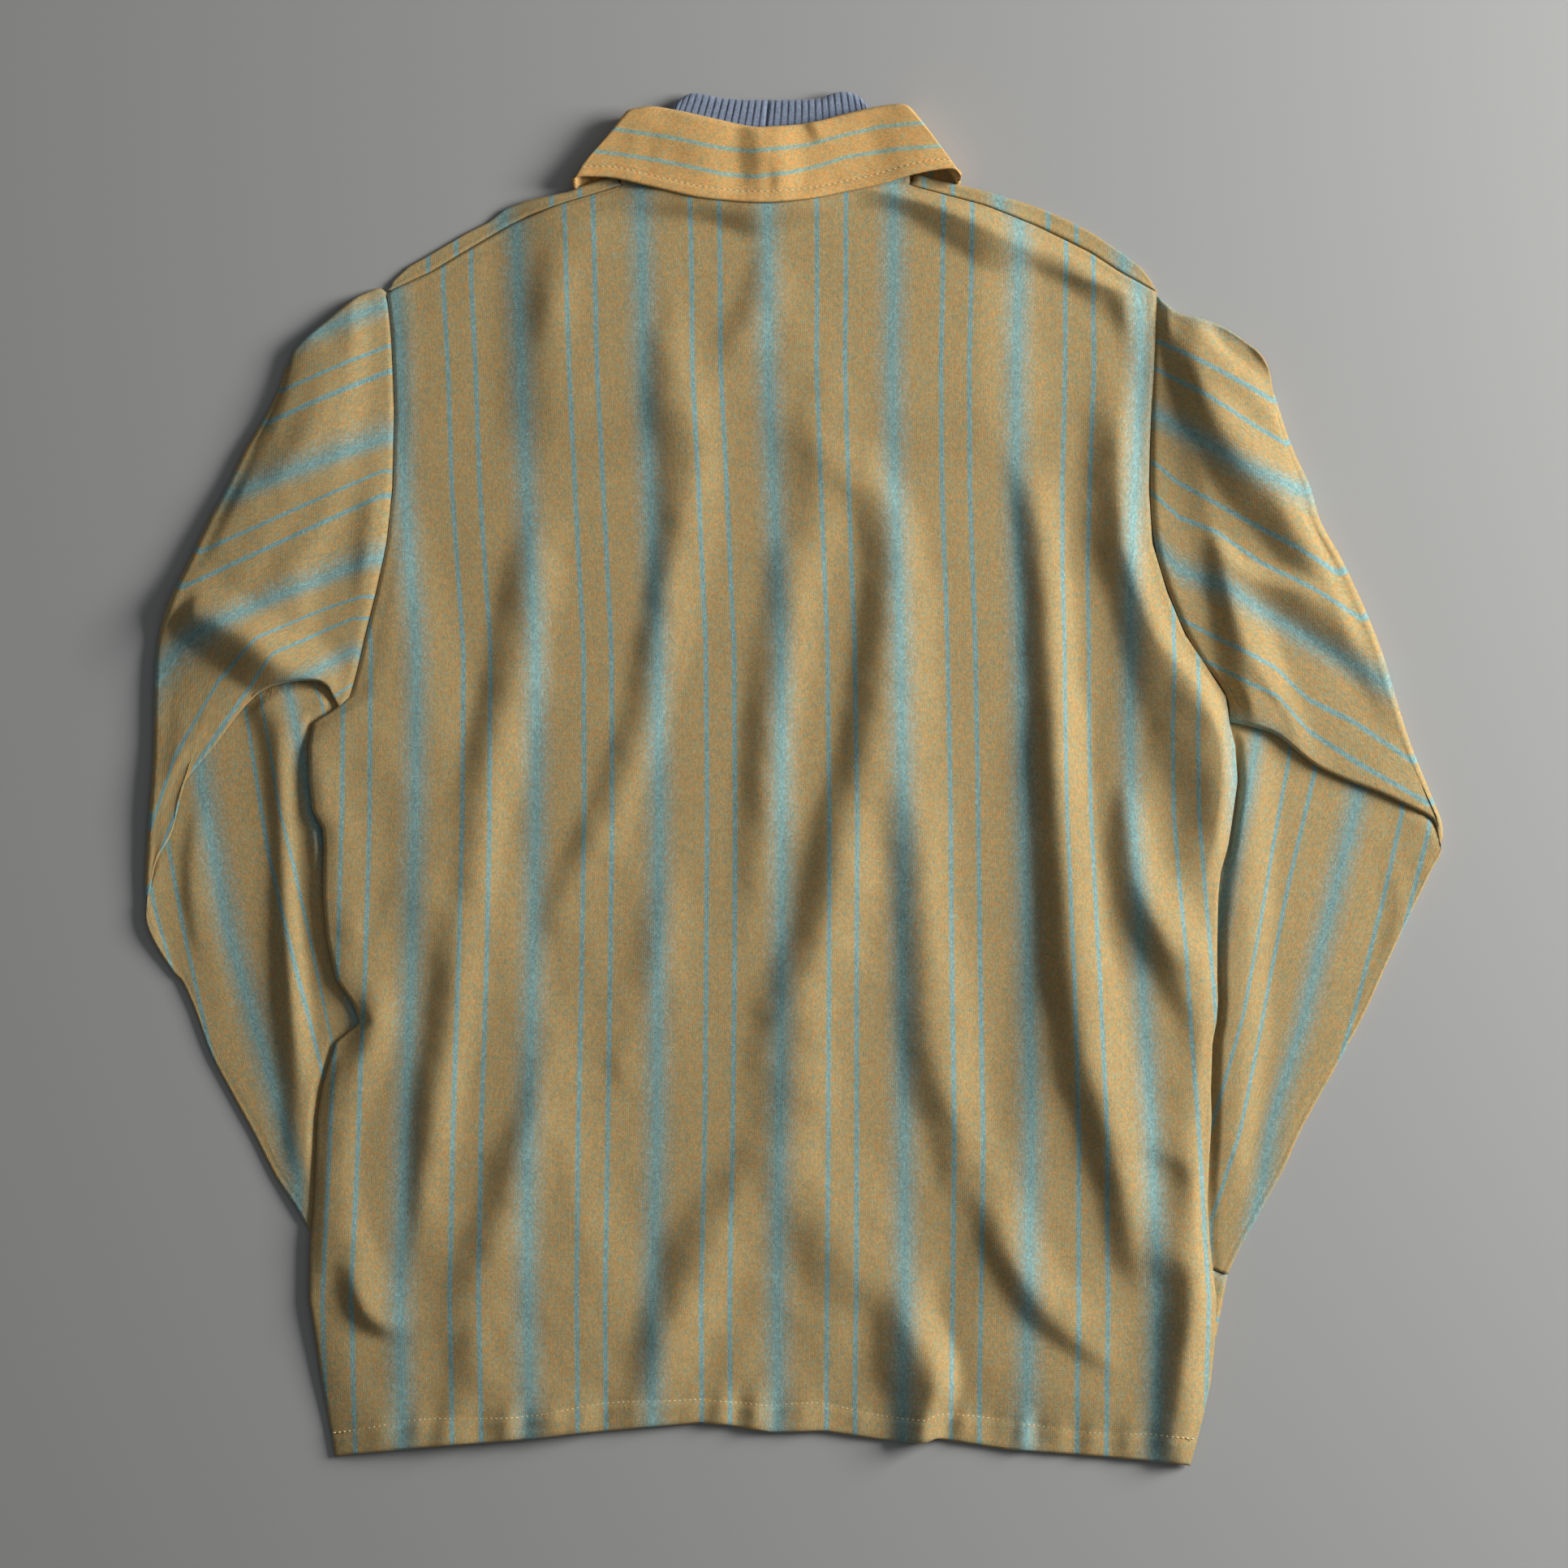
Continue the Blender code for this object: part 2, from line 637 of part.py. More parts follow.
def make_rib():
    low = NECK_LIFT
    high = 2 * NECK_LIFT + WALL + GAP + RIB_WALL
    centre, radius = (low + high) / 2, (high - low) / 2
    stations = []
    for angle in (135, 90, 45):
        stations.append((*RIB_SIDE["left"], centre, radius, angle, -1))
    for r in RIB_BACK:
        stations.append((r["top_x"], r["top_y"], r["seam_x"], r["seam_y"], centre, radius, 0, 1))
    for angle in (45, 90, 135):
        stations.append((*RIB_SIDE["right"], centre, radius, angle, 1))
    for r in RIB_FRONT:
        stations.append((r["top_x"], r["top_y"], r["seam_x"], r["seam_y"], centre, radius, 180, 1))
    fixed = []
    for ax, ay, bx, by, c, r, angle, side in stations:
        inset = r * MM / UNIT * side if 0 < angle < 180 else 0
        fixed.append((ax - inset, ay, bx - inset, by, c, r, angle, side))
    outer, inner = wrap(fixed, RIB_WALL, 4, False)
    # the band closes on itself: its stations run round the ring
    outer = [list(p) for p in zip(*outer)]
    inner = [list(p) for p in zip(*inner)]
    cloth("neck_rib", outer, inner, ring=True)


for old in list(bpy.data.objects):
    bpy.data.objects.remove(old)

make_back()
make_front()
make_sleeve("sleeve_left", SLEEVE_LEFT)
make_sleeve("sleeve_right", SLEEVE_RIGHT)
make_cuff("cuff_left", SLEEVE_LEFT)
make_cuff("cuff_right", SLEEVE_RIGHT)
make_collar()
make_rib()
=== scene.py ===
"""The look of a long-sleeved pullover shirt that lies flat on its front.

Positions are drawing units, X to the right and Y down, as the shirt is seen from
straight above; heights are in millimetres over the floor.  Each piece is a thin
shell that follows the solid it stands for, with its folds laid on one by one.
"""
import math

import bpy
import numpy as np
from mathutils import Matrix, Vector

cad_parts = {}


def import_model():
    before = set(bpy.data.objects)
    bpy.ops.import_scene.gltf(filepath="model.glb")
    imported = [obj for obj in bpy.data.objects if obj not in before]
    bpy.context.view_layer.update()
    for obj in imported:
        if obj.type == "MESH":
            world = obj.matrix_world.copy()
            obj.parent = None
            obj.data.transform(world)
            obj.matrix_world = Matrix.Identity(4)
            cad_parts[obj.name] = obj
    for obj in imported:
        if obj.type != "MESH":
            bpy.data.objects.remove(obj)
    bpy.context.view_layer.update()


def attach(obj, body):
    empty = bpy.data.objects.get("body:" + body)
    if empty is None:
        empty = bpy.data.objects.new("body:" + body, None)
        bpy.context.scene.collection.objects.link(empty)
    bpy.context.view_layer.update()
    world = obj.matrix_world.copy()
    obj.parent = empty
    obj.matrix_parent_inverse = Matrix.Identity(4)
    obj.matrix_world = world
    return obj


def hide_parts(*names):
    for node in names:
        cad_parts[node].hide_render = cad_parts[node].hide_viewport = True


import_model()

UNIT = 0.475e-3                 # one drawing unit in metres
MID_X, MID_Y = 976.47, 960.05   # drawing point over the origin
MM = 1e-3
PX = UNIT / MM                  # millimetres in one drawing unit
WALL, GAP = 1.2, 0.3
SLEEVE_LIFT, NECK_LIFT = 3.4, 2.5
SLEEVE_STACK = 2 * WALL + GAP
REPEAT = 153.0                  # width of one stripe repeat on the back
CELL = 4.7                      # spacing of the fine meshes


# ------------------------------------------------------------------ numbers
def smooth(t):
    t = np.clip(t, 0.0, 1.0)
    return t * t * (3 - 2 * t)


def soft_floor(h, soft=1.0):
    """h where it is high, easing to 0 where it would go below."""
    return soft * np.logaddexp(0.0, h / soft)


def along(points, n=None, step=None):
    """A smooth curve through points, resampled evenly by arc length."""
    p = np.array(points, float)
    ext = np.vstack([2 * p[0] - p[1], p, 2 * p[-1] - p[-2]])
    out = []
    for k in range(1, len(ext) - 2):
        a, b, c, d = ext[k - 1:k + 3]
        t = np.linspace(0, 1, 17)[:-1, None]
        m0, m1 = (c - a) / 2, (d - b) / 2
        out.append((2 * t ** 3 - 3 * t ** 2 + 1) * b + (t ** 3 - 2 * t ** 2 + t) * m0
                   + (-2 * t ** 3 + 3 * t ** 2) * c + (t ** 3 - t ** 2) * m1)
    curve = np.vstack(out + [p[-1:]])
    run = np.concatenate([[0], np.cumsum(np.hypot(*np.diff(curve[:, :2], axis=0).T))])
    if n is None:
        n = max(2, int(round(run[-1] / step)) + 1)
    at = np.linspace(0, run[-1], n)
    return np.stack([np.interp(at, run, curve[:, k]) for k in range(curve.shape[1])], 1)


def sample(curve, shares):
    """Points of an evenly sampled curve at shares of its length."""
    s = np.linspace(0, 1, len(curve))
    return np.stack([np.interp(shares, s, curve[:, k]) for k in range(curve.shape[1])], 1)


def polygon_distance(x, y, corners):
    """Distance outside a polygon, 0 inside."""
    best = np.full(np.shape(x), 1e9)
    inside = np.zeros(np.shape(x), bool)
    for (ax, ay), (bx, by) in zip(corners, corners[1:] + corners[:1]):
        dx, dy = bx - ax, by - ay
        t = np.clip(((x - ax) * dx + (y - ay) * dy) / max(dx * dx + dy * dy, 1e-9), 0, 1)
        best = np.minimum(best, np.hypot(x - ax - dx * t, y - ay - dy * t))
        if ay != by:
            inside ^= ((ay > y) != (by > y)) & (x < ax + (y - ay) * (bx - ax) / (by - ay))
    return np.where(inside, 0.0, best)


# ------------------------------------------------------------------- relief
FIELD = 3.0                     # spacing of the relief fields
FIELD_N = 704


def relief(flanks, reach=105.0, soft=1.0):
    """Height field of the folds, in mm.

    Each flank is one side of a fold: a line down the middle of the slope, with
    its half width and how far the cloth climbs across it, to the right of the
    line's direction seen from above.  The field is the smooth cloth whose slopes
    come nearest to all of them, and it settles back to 0 within the reach; soft
    makes every flank that much broader and higher.
    """
    gx = np.zeros((FIELD_N, FIELD_N))
    gy = np.zeros((FIELD_N, FIELD_N))
    for points in flanks.values():
        p = along(points, step=7.0) * (1, 1, soft, soft)
        wide = p[:, 2].max() * 1.9
        i0 = max(0, int((p[:, 0].min() - wide) / FIELD))
        i1 = min(FIELD_N - 1, int((p[:, 0].max() + wide) / FIELD) + 2)
        j0 = max(0, int((p[:, 1].min() - wide) / FIELD))
        j1 = min(FIELD_N - 1, int((p[:, 1].max() + wide) / FIELD) + 2)
        x, y = np.meshgrid(np.arange(i0, i1) * FIELD, np.arange(j0, j1) * FIELD)
        best = np.full(x.shape, 1e9)
        width, rise = np.ones(x.shape), np.zeros(x.shape)
        nx, ny = np.zeros(x.shape), np.zeros(x.shape)
        tangent = np.gradient(p[:, :2], axis=0)
        tangent /= np.hypot(*tangent.T)[:, None]
        for k in range(len(p) - 1):
            ax, ay, aw, ar = p[k]
            bx, by, bw, br = p[k + 1]
            dx, dy = bx - ax, by - ay
            t = np.clip(((x - ax) * dx + (y - ay) * dy) / max(dx * dx + dy * dy, 1e-9), 0, 1)
            d = np.hypot(x - ax - dx * t, y - ay - dy * t)
            near = d < best
            best = np.where(near, d, best)
            width = np.where(near, aw + (bw - aw) * t, width)
            rise = np.where(near, ar + (br - ar) * t, rise)
            tx = tangent[k, 0] + (tangent[k + 1, 0] - tangent[k, 0]) * t
            ty = tangent[k, 1] + (tangent[k + 1, 1] - tangent[k, 1]) * t
            nx, ny = np.where(near, ty, nx), np.where(near, -tx, ny)
        slope = rise / (1.786 * width) * np.exp(-(best / width) ** 3)
        gx[j0:j1, i0:i1] += nx * slope
        gy[j0:j1, i0:i1] += ny * slope
    k = 2 * np.pi * np.fft.fftfreq(FIELD_N, FIELD)
    kx, ky = k[None, :], k[:, None]
    flow = 1j * kx * np.fft.fft2(gx) + 1j * ky * np.fft.fft2(gy)
    return np.real(np.fft.ifft2(-flow / (kx ** 2 + ky ** 2 + 1 / reach ** 2)))


def ripple(seed, wave, size):
    """A soft random undulation: wavelength in units, root mean square size in mm."""
    noise = np.random.default_rng(seed).normal(size=(FIELD_N, FIELD_N))
    k = 2 * np.pi * np.fft.fftfreq(FIELD_N, FIELD)
    k2 = k[None, :] ** 2 + k[:, None] ** 2
    band = k2 * np.exp(-k2 * (wave / (2 * np.pi)) ** 2)
    out = np.real(np.fft.ifft2(np.fft.fft2(noise) * band))
    return out / out.std() * size


def read(field, x, y):
    """A field at points, on straight lines between its knots."""
    u, v = np.clip(x / FIELD, 0, FIELD_N - 1.001), np.clip(y / FIELD, 0, FIELD_N - 1.001)
    i, j = u.astype(int), v.astype(int)
    s, t = u - i, v - j
    return ((field[j, i] * (1 - s) + field[j, i + 1] * s) * (1 - t)
            + (field[j + 1, i] * (1 - s) + field[j + 1, i + 1] * s) * t)


# ------------------------------------------------------------------- meshes
def world(x, y, z):
    """Drawing units and mm to metres."""
    return np.stack([(x - MID_X) * UNIT, (MID_Y - y) * UNIT, z * MM], -1)


def normals_of(grid, wrap):
    if wrap:
        du = np.roll(grid, -1, 1) - np.roll(grid, 1, 1)
    else:
        du = np.gradient(grid, axis=1)
    dv = np.gradient(grid, axis=0)
    n = np.cross(du, dv)
    return n / np.maximum(np.linalg.norm(n, axis=-1, keepdims=True), 1e-12)


def make_mesh(name, verts, faces, uv, material, smooth_shade=True):
    data = bpy.data.meshes.new(name)
    data.from_pydata(verts.tolist(), [], faces)
    layer = data.uv_layers.new(name="cloth")
    index = np.zeros(len(data.loops), np.int32)
    data.loops.foreach_get("vertex_index", index)
    layer.data.foreach_set("uv", uv[index].astype(np.float32).ravel())
    data.materials.append(material)
    if smooth_shade:
        data.shade_smooth()
    data.validate()
    thing = bpy.data.objects.new(name, data)
    bpy.context.scene.collection.objects.link(thing)
    return thing


def shell(name, grid, uv, material, thick=WALL, wrap=False, flip=False, keep=None, step=2, deep=None):
    """A closed sheet: the seen face is a fine grid, the inside one is coarser.

    grid[i, j] are points in metres; wrap joins the last column to the first.
    """
    ni, nj = grid.shape[:2]
    n = normals_of(grid, wrap)
    if flip:
        n = -n
    inner = (grid - n * (thick * MM))[::step, ::step]
    if deep is not None:
        inner = deep[::step, ::step]
    mi, mj = inner.shape[:2]
    verts = np.vstack([grid.reshape(-1, 3), inner.reshape(-1, 3)])
    uvs = np.vstack([uv.reshape(-1, 2), uv[::step, ::step].reshape(-1, 2)])
    base = ni * nj

    def fine(i, j):
        return i * nj + (j % nj)

    def coarse(i, j):
        return base + i * mj + (j % mj)

    faces = []
    wide = nj if wrap else nj - 1
    for i in range(ni - 1):
        for j in range(wide):
            if keep is None or keep[i, j]:
                faces.append((fine(i, j), fine(i, j + 1), fine(i + 1, j + 1), fine(i + 1, j)))
    wide = mj if wrap else mj - 1
    for i in range(mi - 1):
        for j in range(wide):
            if keep is None or keep[i, j]:
                faces.append((coarse(i, j), coarse(i + 1, j), coarse(i + 1, j + 1), coarse(i, j + 1)))

    def border(f, c):
        """Fine border points f and coarse ones c, along the edge in order."""
        for k in range(len(c) - 1):
            part = f[k * step:(k + 1) * step + 1]
            if step == 1:
                faces.append((part[1], part[0], c[k], c[k + 1]))
                continue
            half = step // 2
            for m in range(half):
                faces.append((part[m + 1], part[m], c[k]))
            faces.append((part[half], c[k], c[k + 1]))
            for m in range(half, step):
                faces.append((part[m + 1], part[m], c[k + 1]))

    if keep is None:
        cols_f = range(nj + 1) if wrap else range(nj)
        cols_c = range(mj + 1) if wrap else range(mj)
        border([fine(0, j) for j in cols_f], [coarse(0, j) for j in cols_c])
        border([fine(ni - 1, j) for j in reversed(cols_f)], [coarse(mi - 1, j) for j in reversed(cols_c)])
        if not wrap:
            border([fine(i, 0) for i in reversed(range(ni))], [coarse(i, 0) for i in reversed(range(mi))])
            border([fine(i, nj - 1) for i in range(ni)], [coarse(i, mj - 1) for i in range(mi)])
    else:
        for i in range(ni - 1):
            for j in range(nj - 1):
                if not keep[i, j]:
                    continue
                for a, b, oi, oj in (((i, j), (i, j + 1), i - 1, j), ((i + 1, j + 1), (i + 1, j), i + 1, j),
                                     ((i + 1, j), (i, j), i, j - 1), ((i, j + 1), (i + 1, j + 1), i, j + 1)):
                    if not (0 <= oi < ni - 1 and 0 <= oj < nj - 1 and keep[oi, oj]):
                        faces.append((fine(*b), fine(*a), coarse(*a), coarse(*b)))
        used = sorted({v for face in faces for v in face})
        place = {v: k for k, v in enumerate(used)}
        verts, uvs = verts[used], uvs[used]
        faces = [tuple(place[v] for v in face) for face in faces]
    if flip:
        faces = [face[::-1] for face in faces]
    return make_mesh(name, verts, faces, uvs, material)


# ------------------------------------------------- what the CAD form is made of
BODY = [(229, 765, 1121), (254, 683, 1215), (278, 625, 1278), (311, 568, 1345), (334, 530, 1380),
        (359, 476, 1426), (414, 482, 1424), (460, 484, 1422), (506, 486, 1419), (554, 485, 1417),
        (602, 484, 1416), (669, 477, 1420), (730, 464, 1438), (782, 451, 1460), (830, 440, 1492),
        (858, 432, 1510), (876, 410, 1513), (890, 386, 1515), (918, 380, 1522), (962, 380, 1525),
        (1000, 385, 1520), (1021, 397, 1517), (1044, 399, 1513), (1075, 398, 1504), (1106, 398, 1501),
        (1155, 402, 1500), (1207, 414, 1500), (1235, 434, 1501), (1260, 444, 1499), (1284, 414, 1494),
        (1315, 404, 1493), (1343, 396, 1492), (1379, 391, 1493), (1430, 389, 1490), (1481, 387, 1488),
        (1532, 382, 1491), (1600, 381, 1499)]
HEM = [(380, 1797), (412, 1796), (512, 1785), (657, 1774), (710, 1768), (803, 1760), (860, 1755), (896, 1758),
       (950, 1767), (1015, 1765), (1088, 1776), (1139, 1779), (1154, 1774), (1243, 1788), (1352, 1796),
       (1429, 1803), (1467, 1807), (1500, 1809)]
HEM_ROWS = [(0.0, 381, 1499), (0.27, 389, 1497), (0.5, 395, 1492), (0.72, 403, 1482), (1.0, 412, 1467)]
SEAM = GAP * MM / UNIT
OVER_LOWER_RIGHT = [(1568, 474), (1480, 815), (1388, 1157), (1297, 1499)]
OVER_LOWER_LEFT = [(350, 458), (455, 816), (560, 1173), (664, 1530)]
FOOTPRINTS = [
    OVER_LOWER_RIGHT + [(1262, 1645), (1480, 1716), (1514, 1571), (1604, 1392), (1694, 1210), (1776, 1016)],
    OVER_LOWER_LEFT + [(720, 1659), (530, 1760), (462, 1637), (370, 1500), (262, 1296), (177, 1104)],
]


def neck_zone(x, y):
    return smooth((1290 - x) / 90) * smooth((x - 600) / 90) * smooth((590 - y) / 100)


def front_low(x, y):
    """Underside of the front panel: over the sleeves and the collar's leaves."""
    away = np.minimum(*(polygon_distance(x, y, f) for f in FOOTPRINTS))
    return np.maximum(NECK_LIFT * neck_zone(x, y), SLEEVE_LIFT * smooth((125 - away) / 80))


def station(table, key, at, want):
    rows = np.array(table, float)
    return np.interp(at, rows[:, key], rows[:, want])


# ----------------------------------------------------------------- the folds
# Flanks of the back's folds: x, y, half width, climb to the right in mm.
BACK_FLANKS = {
    "underarm_right": [(1338, 500, 14, 0), (1352, 560, 22, 8.5), (1358, 640, 26, 12), (1370, 700, 30, 15.5),
                       (1400, 780, 40, 17), (1425, 850, 44, 15.5), (1445, 920, 40, 12), (1462, 1000, 30, 7), (1470, 1060, 20, 0)],
    "underarm_right_fall": [(1412, 520, 26, 0), (1417, 620, 30, -8), (1425, 700, 30, -9), (1447, 780, 24, -8),
                            (1492, 850, 16, -7), (1516, 890, 9, -5), (1520, 980, 8, -5), (1506, 1070, 8, -2)],
    "flank": [(1210, 545, 16, 0), (1246, 610, 17, 6), (1262, 700, 17, 8), (1272, 800, 17, 9), (1276, 900, 17, 10),
              (1279, 1000, 17, 10), (1284, 1100, 17, 9), (1292, 1190, 16, 8), (1312, 1310, 17, 7),
              (1342, 1400, 17, 7), (1365, 1470, 16, 6), (1382, 1550, 14, 4), (1402, 1600, 10, 0)],
    "flank_fall": [(1305, 545, 22, 0), (1318, 640, 26, -6), (1322, 760, 26, -7), (1326, 860, 25, -7), (1338, 1000, 24, -7),
                   (1354, 1130, 22, -6), (1378, 1280, 22, -6), (1398, 1400, 22, -6), (1412, 1500, 20, -5), (1426, 1590, 14, 0)],
    "waist": [(1362, 890, 8, 0), (1370, 960, 9, 3), (1376, 1050, 13, 7), (1390, 1115, 16, 8), (1412, 1165, 15, 8),
              (1436, 1210, 12, 4), (1462, 1270, 11, 2.5), (1474, 1350, 10, 0)],
    "waist_fall": [(1402, 960, 16, 0), (1412, 1060, 20, -6), (1444, 1120, 20, -6), (1480, 1175, 18, -5), (1496, 1235, 14, 0)],
    "centre": [(1040, 575, 14, 0), (1070, 630, 16, 4.5), (1074, 690, 20, 7.5), (1064, 770, 22, 8.5), (1044, 890, 22, 8.5),
               (1022, 990, 21, 8), (1006, 1070, 20, 7.5), (990, 1150, 18, 6), (962, 1215, 24, 6), (950, 1290, 34, 7),
               (946, 1370, 30, 6.5), (930, 1440, 26, 4.5), (905, 1480, 20, 0)],
    "centre_fall": [(1052, 520, 20, 0), (1090, 590, 26, -4), (1120, 680, 28, -5), (1134, 800, 28, -4), (1142, 900, 28, -3),
                    (1156, 1010, 26, -4), (1168, 1120, 26, -4), (1186, 1220, 26, -4), (1214, 1380, 28, -5),
                    (1250, 1500, 26, -5), (1284, 1570, 22, -4), (1345, 1655, 18, 0)],
    "centre_mid": [(1060, 940, 26, 0), (1056, 1040, 30, -4), (1032, 1190, 30, -4), (1008, 1300, 32, -5), (1012, 1390, 34, -4),
                   (1060, 1470, 34, -4), (1084, 1560, 30, -3), (1090, 1600, 26, 0)],
    "spine": [(940, 650, 16, 0), (938, 720, 26, 7), (928, 800, 26, 7), (918, 900, 24, 7.5), (912, 1000, 22, 7.5),
              (906, 1080, 20, 6), (896, 1150, 16, 0)],
    "spine_fall": [(1032, 580, 18, 0), (1026, 690, 22, -3), (1004, 800, 24, -3), (984, 880, 24, -4), (972, 960, 22, -4),
                   (966, 1040, 18, 0)],
    "blade": [(766, 380, 14, 0), (786, 440, 22, 4), (806, 520, 30, 6), (820, 570, 30, 7), (812, 640, 22, 6),
              (802, 700, 18, 5.5), (784, 790, 17, 5), (768, 900, 18, 5), (740, 975, 20, 5), (705, 1030, 20, 5),
              (676, 1085, 18, 4.5), (652, 1140, 18, 4), (634, 1210, 16, 0)],
    "blade_fall": [(842, 390, 22, 0), (858, 480, 26, -4), (868, 600, 26, -4), (858, 720, 24, -3.5), (835, 830, 24, -3),
                   (795, 950, 24, -4), (755, 1030, 24, -4), (725, 1085, 22, 0)],
    "blade_low": [(852, 1040, 20, 0), (842, 1140, 22, -3), (830, 1225, 18, 0)],
    "rib_side": [(826, 990, 16, 0), (808, 1080, 18, 3), (786, 1180, 18, 3), (772, 1240, 14, 0)],
    "side": [(645, 620, 12, 0), (632, 710, 18, 4), (618, 800, 22, 6), (606, 840, 20, 6), (590, 900, 17, 5),
             (582, 960, 16, 4), (584, 1030, 15, 3.5), (576, 1100, 14, 2), (568, 1150, 12, 0)],
    "side_fall": [(685, 610, 20, 0), (684, 700, 26, -5), (662, 790, 26, -5), (645, 880, 26, -5), (628, 970, 24, -5),
                  (608, 1060, 24, -5), (594, 1150, 24, -5), (572, 1240, 24, -5), (556, 1330, 24, -6), (550, 1400, 22, -5),
                  (544, 1470, 18, 0)],
    "shoulder_side": [(560, 590, 18, 0), (554, 680, 24, 3), (550, 780, 20, 2), (545, 850, 18, 0)],
    "armhole_left": [(502, 270, 8, 0), (505, 380, 10, -2.5), (505, 540, 10, -3), (500, 680, 10, -2.5), (486, 790, 8, 0)],
    "shoulder_fall": [(560, 370, 20, 0), (544, 520, 26, -3), (522, 680, 26, -4), (496, 790, 24, -4), (478, 860, 18, 0)],
    "hip": [(552, 1150, 12, 0), (542, 1220, 15, 5), (530, 1290, 17, 7), (514, 1370, 17, 7.5), (501, 1450, 16, 6.5),
            (491, 1520, 14, 4), (486, 1570, 12, 0)],
    "hip_fall": [(486, 1170, 16, 0), (480, 1240, 20, -5), (468, 1320, 20, -4), (452, 1400, 20, -5), (458, 1490, 20, -5),
                 (464, 1570, 16, -3), (468, 1620, 12, 0)],
    "hip_second": [(656, 1270, 14, 0), (640, 1345, 17, 4), (618, 1415, 18, 4.5), (594, 1500, 18, 4.5), (566, 1570, 16, 3), (545, 1620, 14, 0)],
    "hip_second_fall": [(690, 1350, 18, 0), (664, 1440, 22, -3), (636, 1540, 20, -3), (610, 1620, 18, 0)],
    "hem_left": [(910, 1400, 16, 0), (880, 1450, 22, 5), (848, 1515, 26, 6.5), (822, 1580, 26, 7), (804, 1630, 22, 7),
                 (792, 1690, 18, 5), (782, 1745, 14, 0)],
    "hem_left_fall": [(920, 1490, 18, 0), (884, 1560, 24, -5), (856, 1630, 24, -6), (832, 1700, 20, -4), (820, 1750, 14, 0)],
    "hip_right": [(1098, 960, 14, 0), (1112, 1050, 17, 4), (1118, 1140, 18, 4.5), (1117, 1240, 18, 4.5), (1132, 1330, 18, 5),
                  (1160, 1400, 17, 5), (1178, 1480, 14, 0)],
    "hem_right": [(1208, 1465, 12, 0), (1224, 1540, 14, 6), (1252, 1600, 15, 7), (1292, 1645, 15, 6.5), (1345, 1685, 13, 4), (1390, 1705, 10, 0)],
    "hem_centre": [(1086, 1590, 12, 0), (1092, 1640, 17, 6), (1102, 1680, 26, 8), (1116, 1720, 24, 9), (1112, 1780, 18, 6)],
    "hem_centre_fall": [(1152, 1560, 16, 0), (1146, 1620, 16, -5), (1164, 1665, 12, -7), (1170, 1710, 11, -8), (1156, 1760, 10, -6), (1150, 1790, 9, -4)],
    "hem_centre_right": [(1190, 1660, 14, 0), (1204, 1715, 20, -4), (1212, 1770, 16, 0)],
    "hem_mid": [(1000, 1480, 18, 0), (1010, 1560, 22, 3), (1030, 1625, 18, 0)],
    "corner_right": [(1398, 1400, 8, 0), (1428, 1428, 10, 3), (1448, 1452, 14, 5), (1436, 1500, 18, 3), (1428, 1540, 16, 6),
                     (1448, 1590, 17, 8), (1442, 1650, 16, 8), (1432, 1720, 15, 8), (1428, 1780, 13, 4)],
    "corner_right_fall": [(1494, 1290, 10, 0), (1484, 1400, 14, -4), (1488, 1500, 14, -5), (1486, 1600, 14, -6), (1470, 1690, 12, -4), (1462, 1740, 10, 0)],
    "corner_left": [(420, 1550, 8, 0), (427, 1590, 9, 5), (443, 1624, 9, 6), (470, 1642, 8, 4), (505, 1642, 8, 0)],
    "corner_left_soft": [(462, 1652, 14, 0), (478, 1690, 18, 3), (486, 1730, 14, 0)],
    "hem_left_soft": [(552, 1620, 14, 0), (560, 1675, 18, 4), (540, 1735, 16, 3), (530, 1770, 12, 0)],
    "shoulder_right": [(1050, 232, 24, 0), (1110, 262, 28, 16), (1160, 288, 28, 16), (1230, 330, 24, 11), (1310, 385, 18, 0)],
    "sleeve_head": [(1366, 345, 7, 0), (1376, 385, 8, 3), (1386, 425, 7, 0)],
    "upper_back": [(958, 500, 18, 0), (972, 560, 26, 6), (984, 620, 24, 6), (992, 675, 16, 0)],
    "yoke": [(880, 275, 16, 0), (898, 305, 24, 9), (904, 345, 26, 10), (890, 400, 20, 6), (874, 440, 16, 0)],
    "yoke_left": [(786, 318, 14, 0), (798, 350, 20, 5), (808, 395, 20, 6), (812, 440, 16, 2), (812, 460, 14, 0)],
    "shoulder_low": [(1250, 300, 12, 0), (1290, 322, 16, 10), (1330, 348, 16, 10), (1374, 384, 12, 0)],
    "blade_right": [(1135, 330, 16, 0), (1180, 372, 22, 8), (1212, 425, 22, 8), (1232, 480, 16, 0)],
    "shoulder_left": [(690, 290, 14, 0), (668, 330, 20, 5), (652, 385, 20, 5), (646, 440, 14, 0)],
    "under_collar": [(735, 262, 7, 0), (800, 266, 11, 4.5), (870, 274, 13, 6.5), (935, 278, 13, 7), (1000, 274, 13, 6.5), (1070, 260, 10, 4), (1130, 250, 7, 0)],
    "spot_left": [(430, 1125, 9, 0), (424, 1146, 12, 3.5), (428, 1168, 9, 0)],
    "spot_mid": [(502, 1040, 16, 0), (494, 1085, 22, 3.5), (484, 1130, 16, 0)],
    "fold_tip": [(470, 1215, 10, 0), (450, 1250, 13, 6), (436, 1292, 12, 5), (420, 1312, 9, 0)],
    "pucker_left": [(520, 336, 9, 0), (526, 360, 9, 2), (516, 392, 9, 0)],
    "pucker_left2": [(552, 322, 9, 0), (562, 352, 10, 2), (560, 396, 9, 0)],
    "crack_a": [(748, 1290, 8, 0), (753, 1318, 9, 2.5), (762, 1350, 8, 0)],
}


